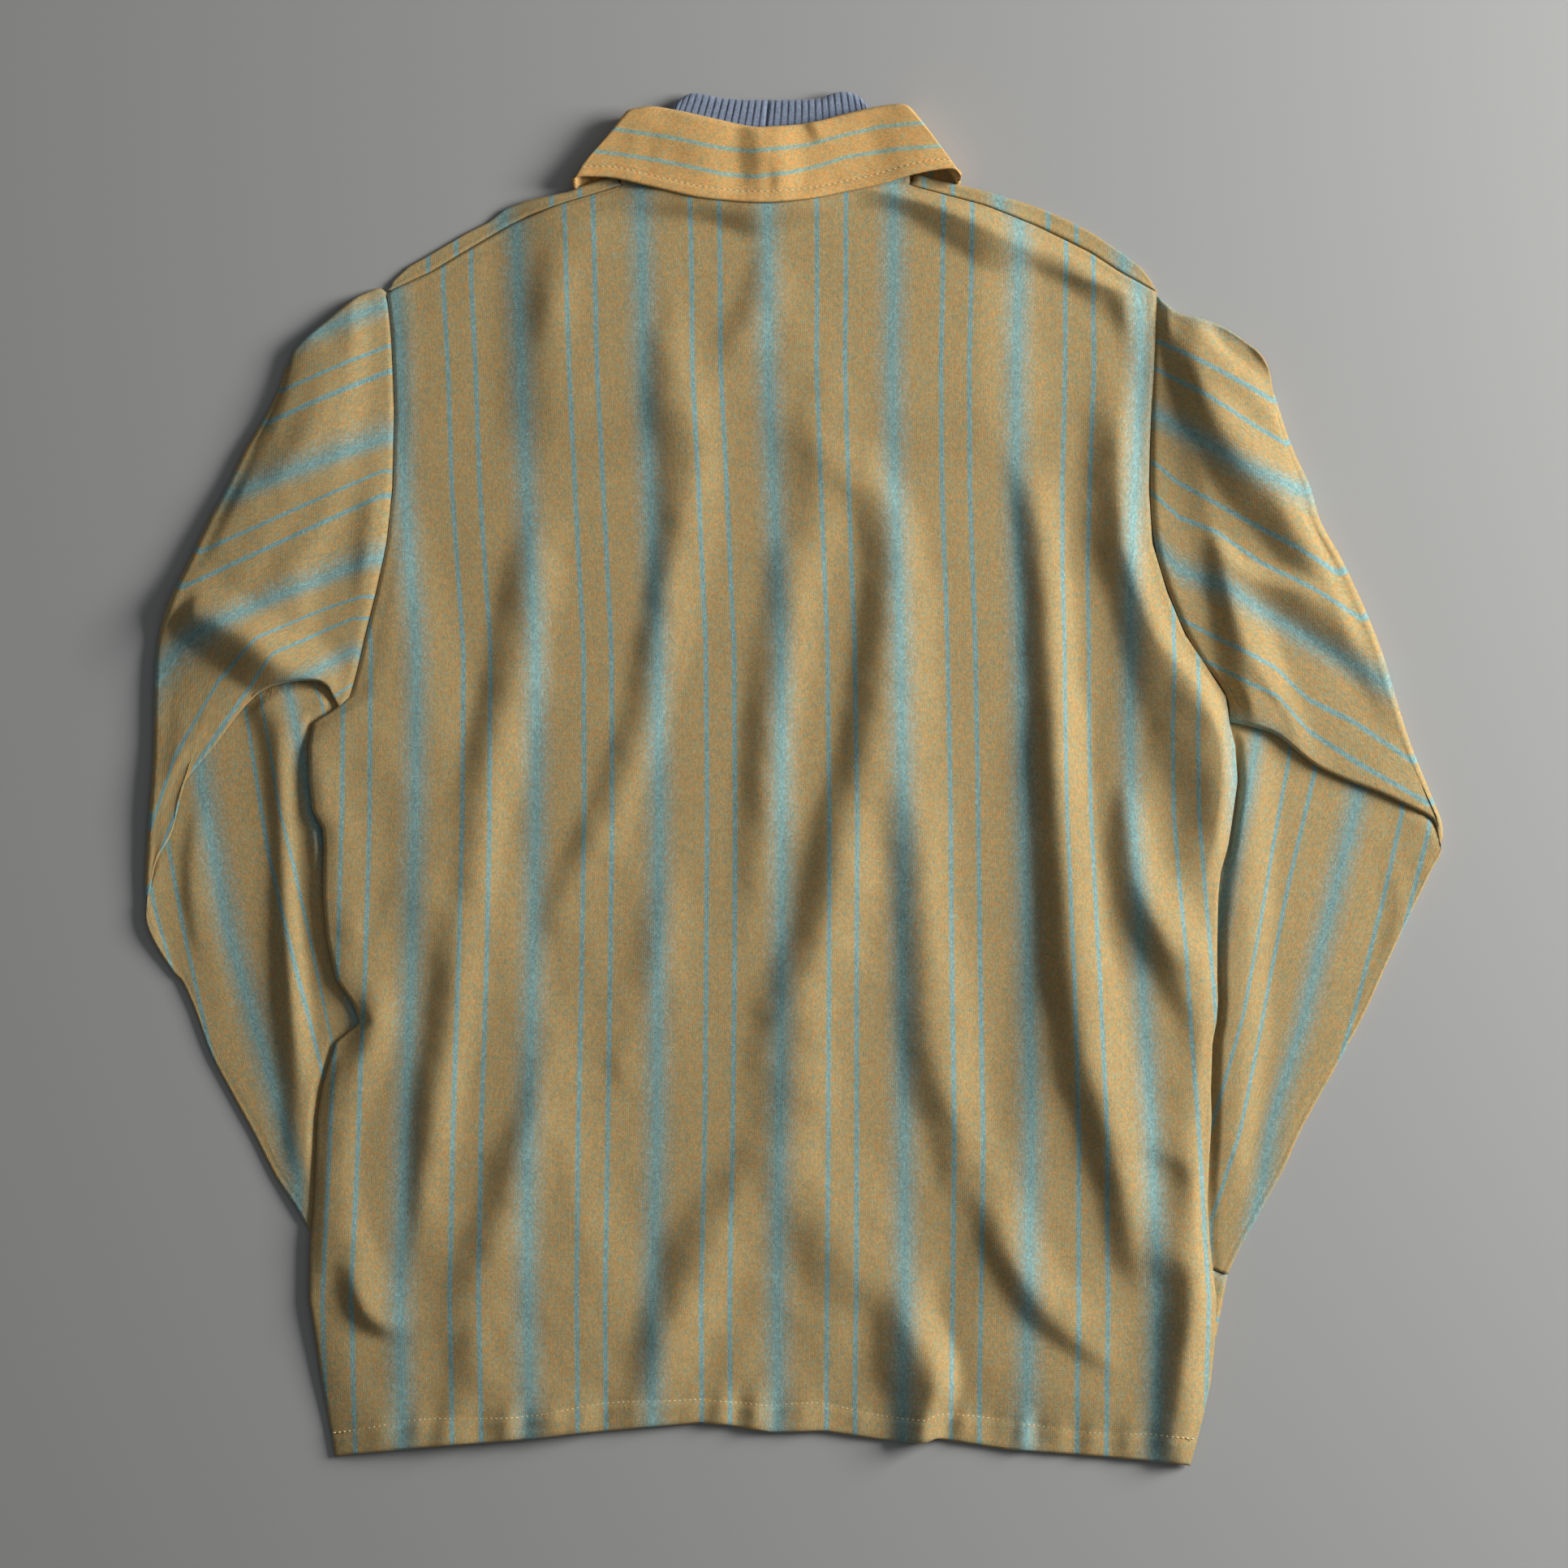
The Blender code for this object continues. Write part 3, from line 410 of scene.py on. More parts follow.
# ---------------------------------------------------------------- the stripes
# Middle lines of the broad shaded stripes of the back, left to right.
STRIPES_BACK = [
    [(229, 491), (350, 486), (450, 493), (600, 497), (800, 513), (1000, 512), (1200, 507), (1400, 499), (1600, 493), (1700, 495), (1800, 497)],
    [(229, 634), (350, 638), (450, 642), (600, 648), (800, 660), (1000, 660), (1200, 656), (1400, 650), (1600, 650), (1700, 652), (1800, 653)],
    [(229, 789), (350, 792), (450, 793), (600, 801), (800, 810), (1000, 812), (1200, 810), (1400, 809), (1600, 804), (1700, 804), (1800, 804)],
    [(229, 945), (350, 946), (450, 946), (600, 953), (800, 962), (1000, 963), (1200, 963), (1400, 960), (1600, 957), (1700, 958), (1800, 958)],
    [(229, 1101), (350, 1101), (450, 1099), (600, 1102), (800, 1109), (1000, 1113), (1200, 1112), (1400, 1114), (1600, 1115), (1700, 1112), (1800, 1112)],
    [(229, 1256), (350, 1255), (450, 1252), (600, 1252), (800, 1259), (1000, 1262), (1200, 1267), (1400, 1271), (1600, 1266), (1700, 1265), (1800, 1265)],
    [(229, 1405), (350, 1403), (450, 1407), (600, 1398), (700, 1392), (800, 1393), (900, 1392), (1000, 1394), (1200, 1407), (1400, 1419), (1600, 1426), (1700, 1424), (1800, 1424)],
]


def stripe_phase(phases, lines, x, y, upright=True):
    """Stripe repeats counted across a piece, as given on some of its stripes."""
    across, run = (x, y) if upright else (y, x)
    at = []
    for line in lines:
        rows = np.array(sorted(line), float)
        at.append(np.interp(run, rows[:, 0], rows[:, 1]))
    out = phases[0] + (across - at[0]) * (phases[1] - phases[0]) / (at[1] - at[0])
    for k in range(1, len(at)):
        a = min(k, len(at) - 2)
        rate = (phases[a + 1] - phases[a]) / (at[a + 1] - at[a])
        out = np.where(across > at[k], phases[k] + (across - at[k]) * rate, out)
    return out


# -------------------------------------------------------------------- finish
def linear(r, g, b):
    def one(c):
        c /= 255.0
        return c / 12.92 if c <= 0.04045 else ((c + 0.055) / 1.055) ** 2.4
    return (one(r), one(g), one(b), 1.0)


class Graph:
    """A short way to lay out shader nodes."""

    def __init__(self, name):
        self.material = bpy.data.materials.new(name)
        self.material.use_nodes = True
        self.tree = self.material.node_tree
        self.shader = self.tree.nodes["Principled BSDF"]

    def node(self, kind, _out=0, _props=None, **sockets):
        made = self.tree.nodes.new(kind)
        for key, value in (_props or {}).items():
            setattr(made, key, value)
        for key, value in sockets.items():
            socket = made.inputs[int(key[1:])] if key[0] == "i" and key[1:].isdigit() else made.inputs[key.replace("_", " ")]
            if isinstance(value, bpy.types.NodeSocket):
                self.tree.links.new(value, socket)
            else:
                socket.default_value = value
        return made.outputs[_out]

    def math(self, how, a, b=0.0, c=0.0):
        return self.node("ShaderNodeMath", _props={"operation": how}, i0=a, i1=b, i2=c)

    def mix(self, share, a, b, how="MIX"):
        made = self.tree.nodes.new("ShaderNodeMix")
        made.data_type, made.blend_type = "RGBA", how
        for socket, value in ((made.inputs[0], share), (made.inputs[6], a), (made.inputs[7], b)):
            if isinstance(value, bpy.types.NodeSocket):
                self.tree.links.new(value, socket)
            else:
                socket.default_value = value
        return made.outputs[2]

    def ramp(self, factor, stops, how="LINEAR"):
        made = self.tree.nodes.new("ShaderNodeValToRGB")
        made.color_ramp.interpolation = how
        elements = made.color_ramp.elements
        while len(elements) < len(stops):
            elements.new(0.5)
        for element, (at, value) in zip(elements, stops):
            element.position = at
            element.color = value if isinstance(value, tuple) else (value, value, value, 1)
        self.tree.links.new(factor, made.inputs[0])
        return made.outputs[0]


GROUND = linear(177, 153, 103)
WARM = linear(194, 148, 92)
COOL = linear(152, 154, 120)
STRIPE = linear(136, 174, 172)
STRIPE_DARK = linear(112, 150, 153)
# Share of stripe yarn across one repeat: the shaded stripe is stepped yarn by
# yarn at its edges, and the two fine stripes are plain.
YARNS = [(0.0, 0.92), (0.022, 0.90), (0.03, 0.72), (0.05, 0.68), (0.06, 0.48), (0.10, 0.34), (0.112, 0.18), (0.14, 0.15),
         (0.165, 0.0), (0.366, 0.0), (0.381, 0.93), (0.404, 0.93), (0.419, 0.0), (0.594, 0.0), (0.609, 0.93), (0.632, 0.93),
         (0.647, 0.0), (0.835, 0.0), (0.86, 0.15), (0.888, 0.18), (0.90, 0.34), (0.94, 0.48), (0.95, 0.68), (0.97, 0.72),
         (0.978, 0.90), (1.0, 0.92)]


def cloth_material(name, repeat=REPEAT * UNIT, plain=False, tint=(1, 1, 1), pin=False):
    """Woven cloth: striped warp, mixed yarns, a fine weave and a soft nap.

    The UV map holds stripe repeats across and metres along.
    """
    g = Graph(name)
    uv = g.node("ShaderNodeUVMap", _props={"uv_map": "cloth"})
    split = g.tree.nodes.new("ShaderNodeSeparateXYZ")
    g.tree.links.new(uv, split.inputs[0])
    across = g.math("MULTIPLY", split.outputs[0], repeat)
    point = g.node("ShaderNodeCombineXYZ", X=across, Y=split.outputs[1], Z=0.0)
    # yarn to yarn variation: short flecks, longer along the warp
    stretched = g.node("ShaderNodeMapping", Vector=point, Scale=(1.0, 0.62, 1.0))
    cells = g.tree.nodes.new("ShaderNodeTexVoronoi")
    cells.inputs["Scale"].default_value = 1150.0
    g.tree.links.new(stretched, cells.inputs["Vector"])
    fleck = g.tree.nodes.new("ShaderNodeSeparateColor")
    g.tree.links.new(cells.outputs["Color"], fleck.inputs[0])
    patch = g.node("ShaderNodeTexNoise", Vector=point, Scale=260.0, Detail=3.0, Roughness=0.65)
    broad = g.node("ShaderNodeTexNoise", Vector=point, Scale=22.0, Detail=3.0, Roughness=0.6)
    warp = g.node("ShaderNodeMapping", Vector=point, Scale=(1.0, 0.035, 1.0))
    streak = g.node("ShaderNodeTexNoise", Vector=warp, Scale=700.0, Detail=2.0, Roughness=0.6)
    ground = g.mix(g.ramp(fleck.outputs[0], [(0.0, 0.0), (0.55, 0.25), (1.0, 1.0)]), GROUND, WARM)
    ground = g.mix(g.ramp(fleck.outputs[1], [(0.0, 0.0), (0.6, 0.1), (0.85, 0.75), (1.0, 0.95)]), ground, COOL)
    if not plain:
        wobble = g.math("MULTIPLY", g.math("SUBTRACT", patch, 0.5), 0.012)
        turn = g.math("FRACT", g.math("ADD", split.outputs[0], wobble))
        if pin:
            stops = [(0.0, 0.0), (0.366, 0.0), (0.381, 0.93), (0.404, 0.93), (0.419, 0.0), (0.594, 0.0), (0.609, 0.93),
                     (0.632, 0.93), (0.647, 0.0), (1.0, 0.0)]
        else:
            stops = YARNS
        yarn = g.ramp(turn, stops)
        # single yarns of either colour cross over, so a mixed place is speckled
        lift = g.math("MULTIPLY", g.math("SUBTRACT", fleck.outputs[2], 0.5), 0.42)
        room = g.math("MULTIPLY", g.math("MULTIPLY", yarn, g.math("SUBTRACT", 1.0, yarn)), 4.0)
        yarn = g.math("ADD", yarn, g.math("MULTIPLY", lift, room))
        blue = g.mix(fleck.outputs[1], STRIPE, STRIPE_DARK)
        ground = g.mix(g.math("MULTIPLY", yarn, 1.0), ground, blue)
    level = g.math("ADD", g.math("MULTIPLY", fleck.outputs[2], 0.22), 0.80)
    level = g.math("MULTIPLY", level, g.math("ADD", g.math("MULTIPLY", patch, 0.24), 0.88))
    level = g.math("MULTIPLY", level, g.math("ADD", g.math("MULTIPLY", broad, 0.14), 0.93))
    level = g.math("MULTIPLY", level, g.math("ADD", g.math("MULTIPLY", streak, 0.12), 0.94))
    shade = g.node("ShaderNodeCombineColor", i0=g.math("MULTIPLY", level, tint[0]),
                   i1=g.math("MULTIPLY", level, tint[1]), i2=g.math("MULTIPLY", level, tint[2]))
    colour = g.mix(1.0, ground, shade, "MULTIPLY")
    g.tree.links.new(colour, g.shader.inputs["Base Color"])
    # plain weave: warp and weft threads, broken up so that it never lines up
    jitter = g.node("ShaderNodeTexNoise", Vector=point, Scale=90.0, Detail=1.0)
    shifted = g.node("ShaderNodeVectorMath", _props={"operation": "ADD"}, i0=point,
                     i1=g.node("ShaderNodeVectorMath", _props={"operation": "SCALE"},
                               i0=g.node("ShaderNodeCombineXYZ", X=jitter, Y=jitter, Z=0.0), Scale=0.0012))
    warps = g.node("ShaderNodeTexWave", _out=1, _props={"bands_direction": "X"}, Vector=shifted, Scale=270.0, Distortion=0.4)
    wefts = g.node("ShaderNodeTexWave", _out=1, _props={"bands_direction": "Y"}, Vector=shifted, Scale=230.0, Distortion=0.4)
    weave = g.math("ADD", g.math("MULTIPLY", g.math("MULTIPLY", warps, wefts), 0.45), g.math("MULTIPLY", fleck.outputs[0], 0.9))
    weave = g.math("ADD", weave, g.math("MULTIPLY", patch, 1.2))
    bump = g.node("ShaderNodeBump", Height=weave, Strength=0.4, Distance=0.0003)
    g.tree.links.new(bump, g.shader.inputs["Normal"])
    rough = g.math("ADD", g.math("MULTIPLY", fleck.outputs[1], 0.12), 0.80)
    g.tree.links.new(rough, g.shader.inputs["Roughness"])
    g.shader.inputs["Specular IOR Level"].default_value = 0.22
    g.shader.inputs["Sheen Weight"].default_value = 0.16
    g.shader.inputs["Sheen Roughness"].default_value = 0.5
    g.shader.inputs["Sheen Tint"].default_value = (0.95, 0.86, 0.68, 1.0)
    return g.material


BODY_CLOTH = cloth_material("striped_cloth")
RELIEF_BACK = 1.5 * relief(BACK_FLANKS, soft=1.5) + ripple(5, 60, 0.13) + ripple(6, 150, 0.42)


# ------------------------------------------------------------- the back panel
def columns(width, step, rim=(0.0, 0.6, 1.5, 2.8, 4.4, 6.6)):
    """Shares across a panel: even, with a finer rim at both edges."""
    rim = np.array(rim) / width
    n = int(round((width - 2 * rim[-1] * width) / step))
    inner = np.linspace(rim[-1], 1 - rim[-1], n + 1)
    out = np.concatenate([rim[:-1], inner, 1 - rim[:-1][::-1]])
    return out if len(out) % 2 == 1 else np.delete(out, len(out) // 2)


def body_points(u, ys, hem_shares):
    """Positions of the body's grid, rows from the neck to the hem."""
    rows = []
    for y in ys:
        left, right = station(BODY, 0, y, 1), station(BODY, 0, y, 2)
        rows.append(np.stack([left + (right - left) * u, np.full_like(u, y)], -1))
    for s in hem_shares:
        left, right = station(HEM_ROWS, 0, s, 1), station(HEM_ROWS, 0, s, 2)
        x = left + (right - left) * u
        rows.append(np.stack([x, 1600 + (station(HEM, 0, x, 1) - 1600) * s], -1))
    return np.stack(rows)


def hem_distance(x, y):
    return station(HEM, 0, x, 1) - y


def shoulder_distance(x, y):
    """Distance of a point on the back below its shoulder seam."""
    seam = np.interp(x, [476, 530, 568, 625, 683, 765, 1121, 1215, 1278, 1345, 1380, 1426],
                     [359, 334, 311, 278, 254, 229, 229, 254, 278, 311, 334, 359])
    return y - seam


# Puckers of the hem between its edge and its stitching: x, half width, mm.
PUCKERS = [(470, 9, .7), (515, 10, 1.5), (548, 7, .6), (590, 10, -1.2), (625, 9, 1.6), (646, 8, -1.2), (682, 15, 2.2), (716, 12, 1.6),
           (744, 8, -.7), (781, 9, .8), (812, 8, -.6), (850, 9, .7), (888, 9, 1.8), (910, 7, -1.1), (931, 8, 1.6), (956, 9, -1.2),
           (990, 8, .6), (1022, 10, -.7), (1060, 10, .9), (1102, 9, -.8), (1135, 9, 1.2), (1163, 10, -1.6), (1186, 8, 1.3),
           (1222, 8, -.7), (1260, 8, 2.0), (1277, 7, -1.4), (1305, 7, .9), (1326, 6, -.6), (1345, 7, .9), (1370, 7, -.8),
           (1392, 7, .8), (1416, 8, -.9), (1440, 7, .7)]


def hem_relief(x, y):
    """The turned-up hem: one more ply, a stitched furrow and its puckers."""
    d = hem_distance(x, y)
    deep = 33 + 3 * np.sin(x / 37.0)
    out = 0.5 * smooth((deep + 3.0 - d) / 7.0)
    out -= 0.42 * np.exp(-((d - deep) / 3.0) ** 2)
    near = np.exp(-((d - deep * 0.7) / 24.0) ** 2)
    for at, wide, high in PUCKERS:
        lean = at + (d - 20) * 0.12
        out += 1.15 * high * near * np.exp(-((x - lean) / (1.25 * wide)) ** 2)
    return out


def back_height(x, y, edge):
    """Outer face of the back panel, with its rolled rim."""
    low = front_low(x, y)
    under = low + WALL + GAP + NECK_LIFT * neck_zone(x, y)
    folds = soft_floor(read(RELIEF_BACK, x, y) + 1.6, 0.9)
    open_edge = smooth((y - 850) / 60)
    armhole = np.where(x < MID_X, 34, 14) * smooth((850 - y) / 60) * smooth((y - 335) / 50)
    fade = smooth(edge / (30 - 12 * open_edge + 55 * smooth((372 - y) / 40) + armhole))
    top = under + WALL + 0.8 * smooth(edge / 40) + folds * (0.10 + 0.90 * fade)
    top += hem_relief(x, y) * smooth((y - 1680) / 30)
    # seams: a furrow beside the armhole and the shoulder, a rounded open edge
    seam = smooth((905 - y) / 30)
    top += seam * (0.3 * np.exp(-((edge - 5.5) / 4.0) ** 2) - 0.5 * np.exp(-(edge / 2.4) ** 2))
    # the open left side stands up beside the folded sleeve
    stand = np.where(x < MID_X, 3.2 * smooth((y - 874) / 60) * smooth((1300 - y) / 90), 0.0)
    top += stand * np.exp(-(edge / 46.0) ** 2)
    roll = np.sqrt(np.clip(1 - (1 - np.clip(edge / 5.5, 0, 1)) ** 2, 0, 1))
    middle = low + (WALL * 2 + GAP) / 2 + 0.2
    rim = middle + (top - middle) * roll
    top = top * seam + rim * (1 - seam)
    hem = np.clip(hem_distance(x, y) / 5.0, 0, 1)
    return np.where(hem < 1, middle + (top - middle) * np.sqrt(1 - (1 - hem) ** 2), top)


def make_back():
    u = columns(1030.0, CELL)
    ys = np.concatenate([[213, 218, 223.5], np.linspace(229, 1600, 293)])
    shares = np.concatenate([np.linspace(0, 1, 41)[1:-1], [0.984, 0.993, 1.0]])
    if (len(ys) + len(shares)) % 2 == 0:
        shares = np.delete(shares, 20)
    p = body_points(u, ys, shares)
    x, y = p[..., 0], p[..., 1]
    edge = np.minimum(x - x[:, :1], x[:, -1:] - x)
    z = back_height(x, y, edge)
    top = np.minimum(shoulder_distance(x, y), 1e3)
    z = z + 0.5 * np.exp(-((top - 6) / 4.5) ** 2) - 0.5 * np.exp(-(top / 2.6) ** 2)
    uv = np.stack([stripe_phase(range(7), STRIPES_BACK, x, y), y * UNIT], -1)
    back = shell("cloth_back", world(x, y, z), uv, BODY_CLOTH, flip=True)
    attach(back, "root")
    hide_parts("back")
    return back


# ------------------------------------------------------------ light and floor
def make_stage():
    world_made = bpy.data.worlds.new("studio")
    world_made.use_nodes = True
    world_made.node_tree.nodes["Background"].inputs[0].default_value = (0.93, 0.96, 1.0, 1)
    world_made.node_tree.nodes["Background"].inputs[1].default_value = 0.10
    bpy.context.scene.world = world_made
    g = Graph("pale_floor")
    g.shader.inputs["Base Color"].default_value = (0.352, 0.354, 0.352, 1)
    g.shader.inputs["Roughness"].default_value = 0.9
    g.shader.inputs["Specular IOR Level"].default_value = 0.15
    data = bpy.data.meshes.new("floor")
    data.from_pydata([(-6, -6, 0), (6, -6, 0), (6, 6, 0), (-6, 6, 0)], [], [(0, 1, 2, 3)])
    data.materials.append(g.material)
    floor = bpy.data.objects.new("floor", data)
    floor.location = (0, 0, -0.0002)
    bpy.context.scene.collection.objects.link(floor)
    for name, at, size, power, colour in (
            ("window", (2.05, 0.62, 1.02), (1.1, 1.0), 92.0, (1.0, 0.985, 0.96)),
            ("sky", (0.5, 0.5, 2.9), (3.0, 3.0), 9.0, (0.97, 0.985, 1.0))):
        light = bpy.data.lights.new(name, "AREA")
        light.shape, light.size, light.size_y = "RECTANGLE", size[0], size[1]
        light.energy, light.color = power, colour
        lamp = bpy.data.objects.new(name, light)
        lamp.location = at
        lamp.rotation_euler = (Vector((0.0, 0.0, 0.0)) - Vector(at)).to_track_quat("-Z", "Y").to_euler()
        bpy.context.scene.collection.objects.link(lamp)


def make_camera():
    data = bpy.data.cameras.new("camera")
    data.sensor_width, data.lens = 36.0, 100.0
    camera = bpy.data.objects.new("camera", data)
    camera.location = ((966 - MID_X) * UNIT, (MID_Y - 966) * UNIT, 1932 * UNIT * 100.0 / 36.0 + 0.006)
    camera.rotation_euler = (0, 0, 0)
    bpy.context.scene.collection.objects.link(camera)
    bpy.context.scene.camera = camera
    bpy.context.scene.view_settings.view_transform = "Standard"
    bpy.context.scene.view_settings.look = "None"


# ------------------------------------------------------------------ sleeves
# Outlines of each sleeve: the armhole seam, the outline of the elbow fold, the
# overarm and underarm edges up to it, and the edges of the part folded under.
RIGHT = {
    "side": 1,
    "hole": [(1426, 363), (1424, 400), (1421, 472), (1419, 530), (1418, 606), (1421, 656), (1432, 706), (1455, 767),
             (1478, 809), (1500, 838), (1513, 862), (1516, 890)],
    "fold": [(1570, 482), (1583, 530), (1598, 568), (1612, 598), (1625, 644), (1652, 690), (1675, 740), (1698, 797),
             (1721, 866), (1739, 919), (1761, 973), (1777, 1013), (1779, 1036)],
    "over": [(1426, 363), (1453, 384), (1484, 393), (1507, 402), (1534, 420), (1554, 437), (1565, 460), (1570, 482)],
    "under": [(1516, 890), (1548, 897), (1573, 906), (1596, 924), (1621, 943), (1656, 960), (1698, 976), (1733, 992), (1766, 1010), (1779, 1036)],
    "over_low": OVER_LOWER_RIGHT,
    "under_low": [(1779, 1036), (1776, 1053), (1765, 1073), (1739, 1127), (1710, 1188), (1682, 1251), (1643, 1323), (1605, 1392),
                  (1580, 1447), (1532, 1534), (1514, 1571)],
    "crown": 2.2,
    "flip": False,
}
LEFT = {
    "side": -1,
    "hole": [(476, 359), (482, 414), (486, 506), (484, 602), (477, 669), (464, 730), (451, 782), (442, 824), (432, 862), (425, 886)],
    "fold": [(353, 449), (338, 491), (318, 526), (300, 556), (278, 602), (253, 650), (211, 742), (196, 780), (190, 830),
             (188, 944), (182, 1021), (178, 1084), (177, 1106)],
    "over": [(476, 359), (466, 354), (448, 361), (430, 372), (403, 394), (380, 413), (363, 431), (353, 449)],
    "under": [(425, 886), (411, 862), (402, 845), (384, 839), (350, 842), (322, 852), (295, 878), (262, 922), (233, 956),
              (221, 974), (217, 1000), (210, 1030), (192, 1062), (177, 1106)],
    "over_low": OVER_LOWER_LEFT,
    "under_low": [(177, 1106), (180, 1137), (191, 1166), (213, 1200), (224, 1212), (239, 1245), (259, 1300), (284, 1348), (312, 1399),
                  (338, 1450), (363, 1488), (400, 1548), (462, 1637)],
    "crown": 3.0,
    "flip": True,
}
SLEEVE_PHASES = (-0.61, -0.385, 0.0, 0.392, 0.62, 1.0, 1.392, 1.62)
STRIPES_RIGHT_UPPER = [
    [(1426, 419), (1499, 457), (1574, 497)], [(1426, 453), (1472, 480), (1545, 526), (1589, 551)],
    [(1426, 510), (1472, 537), (1530, 576), (1606, 606)], [(1421, 568), (1453, 595), (1530, 639), (1595, 675), (1644, 706)],
    [(1419, 606), (1453, 637), (1499, 656), (1553, 694), (1614, 725), (1675, 763)],
    [(1426, 671), (1453, 702), (1514, 725), (1553, 752), (1637, 801), (1706, 843)],
    [(1440, 750), (1459, 765), (1514, 794), (1570, 823), (1611, 862), (1669, 890), (1739, 938)],
    [(1470, 806), (1538, 842), (1573, 858), (1611, 900), (1669, 938), (1758, 989)],
]
STRIPES_RIGHT_LOWER = [
    [(800, 1565), (916, 1548), (989, 1535), (1069, 1516), (1200, 1490), (1500, 1430)],
    [(932, 1589), (1037, 1570), (1133, 1554), (1250, 1532), (1341, 1506), (1500, 1462)],
    [(951, 1621), (1085, 1589), (1180, 1570), (1250, 1557), (1392, 1529), (1504, 1493)],
    [(980, 1675), (1094, 1647), (1171, 1627), (1262, 1605), (1380, 1567), (1453, 1557), (1560, 1533)],
    [(1002, 1728), (1113, 1704), (1228, 1675), (1293, 1656), (1400, 1628), (1560, 1580)],
    [(1021, 1761), (1136, 1733), (1250, 1702), (1400, 1660), (1560, 1610)],
]
STRIPES_LEFT_UPPER = [
    [(340, 485), (478, 425)], [(330, 520), (478, 455)], [(290, 610), (475, 540)], [(250, 680), (470, 580)], [(225, 725), (470, 610)],
    [(178, 905), (195, 830), (225, 790), (340, 738), (460, 690)],
    [(178, 1060), (190, 1010), (215, 935), (270, 838), (320, 786), (395, 752), (445, 735)],
    [(176, 1120), (205, 1030), (240, 945), (300, 858), (340, 806), (400, 777), (435, 762)],
]
STRIPES_LEFT_LOWER = [
    [(1080, 183), (1120, 190), (1300, 240), (1500, 300)], [(1040, 205), (1150, 225), (1300, 258), (1450, 302)],
    [(960, 245), (1150, 280), (1300, 325), (1450, 368)], [(860, 300), (1050, 330), (1330, 400)],
    [(850, 320), (1000, 345), (1060, 360), (1300, 412)],
]
RIGHT_FLANKS = {
    "cap": [(1406, 372, 9, 0), (1422, 405, 14, 7), (1446, 460, 19, 12), (1472, 525, 22, 15), (1505, 590, 27, 16), (1556, 650, 28, 14),
            (1592, 690, 20, 7), (1612, 712, 14, 0)],
    "cap_fall": [(1476, 418, 18, 0), (1520, 470, 22, -5), (1572, 560, 22, -5), (1612, 640, 20, -6), (1660, 735, 16, -4), (1700, 820, 12, 0)],
    "cap_second": [(1478, 446, 9, 0), (1520, 482, 11, 3), (1560, 522, 11, 3), (1588, 560, 9, 0)],
    "flap": [(1478, 402, 6, 0), (1498, 420, 8, -5), (1524, 442, 8, -6), (1548, 462, 8, -5), (1562, 486, 6, 0)],
    "flap_dark": [(1494, 400, 5, 0), (1514, 412, 6, 6), (1536, 428, 7, 8), (1554, 448, 6, 6), (1562, 464, 5, 0)],
    "elbow": [(1497, 628, 9, 0), (1516, 668, 12, -5), (1548, 700, 12, -6), (1590, 714, 11, -5), (1626, 728, 9, 0)],
    "hollow": [(1476, 630, 9, 0), (1486, 690, 15, 8), (1498, 760, 18, 11), (1512, 830, 17, 9), (1524, 880, 12, 5), (1530, 900, 8, 0)],
    "hollow_fall": [(1524, 720, 16, 0), (1556, 780, 25, -8), (1584, 840, 26, -9), (1608, 898, 20, -6), (1620, 930, 12, 0)],
    "forearm": [(1530, 700, 14, 0), (1580, 745, 22, 8), (1636, 795, 25, 9), (1690, 850, 22, 7), (1726, 905, 14, 0)],
    "edge": [(1596, 570, 9, 0), (1630, 640, 11, -3), (1684, 760, 11, -3), (1720, 860, 11, -3), (1756, 955, 9, 0)],
}
RIGHT_LOW_FLANKS = {
    "under_body": [(1520, 905, 6, 0), (1521, 960, 6, 2), (1519, 1050, 6, 2), (1507, 1150, 6, 2), (1502, 1250, 6, 2), (1498, 1350, 6, 2), (1495, 1450, 6, 1.5), (1494, 1520, 6, 0)],
    "long_fall": [(1562, 900, 18, 0), (1566, 960, 25, -8), (1566, 1060, 26, -9), (1562, 1180, 25, -9), (1556, 1300, 23, -8),
                  (1545, 1400, 20, -7), (1532, 1490, 16, 0)],
    "soft_a": [(1650, 1000, 12, 0), (1642, 1100, 15, 2), (1622, 1220, 15, 2.2), (1606, 1300, 12, 0)],
    "soft_b": [(1700, 1030, 12, 0), (1712, 1110, 12, 2.4), (1700, 1180, 12, 2.4), (1668, 1262, 10, 0)],
    "soft_c": [(1585, 1330, 10, 0), (1572, 1400, 12, 2.5), (1562, 1460, 10, 0)],
}
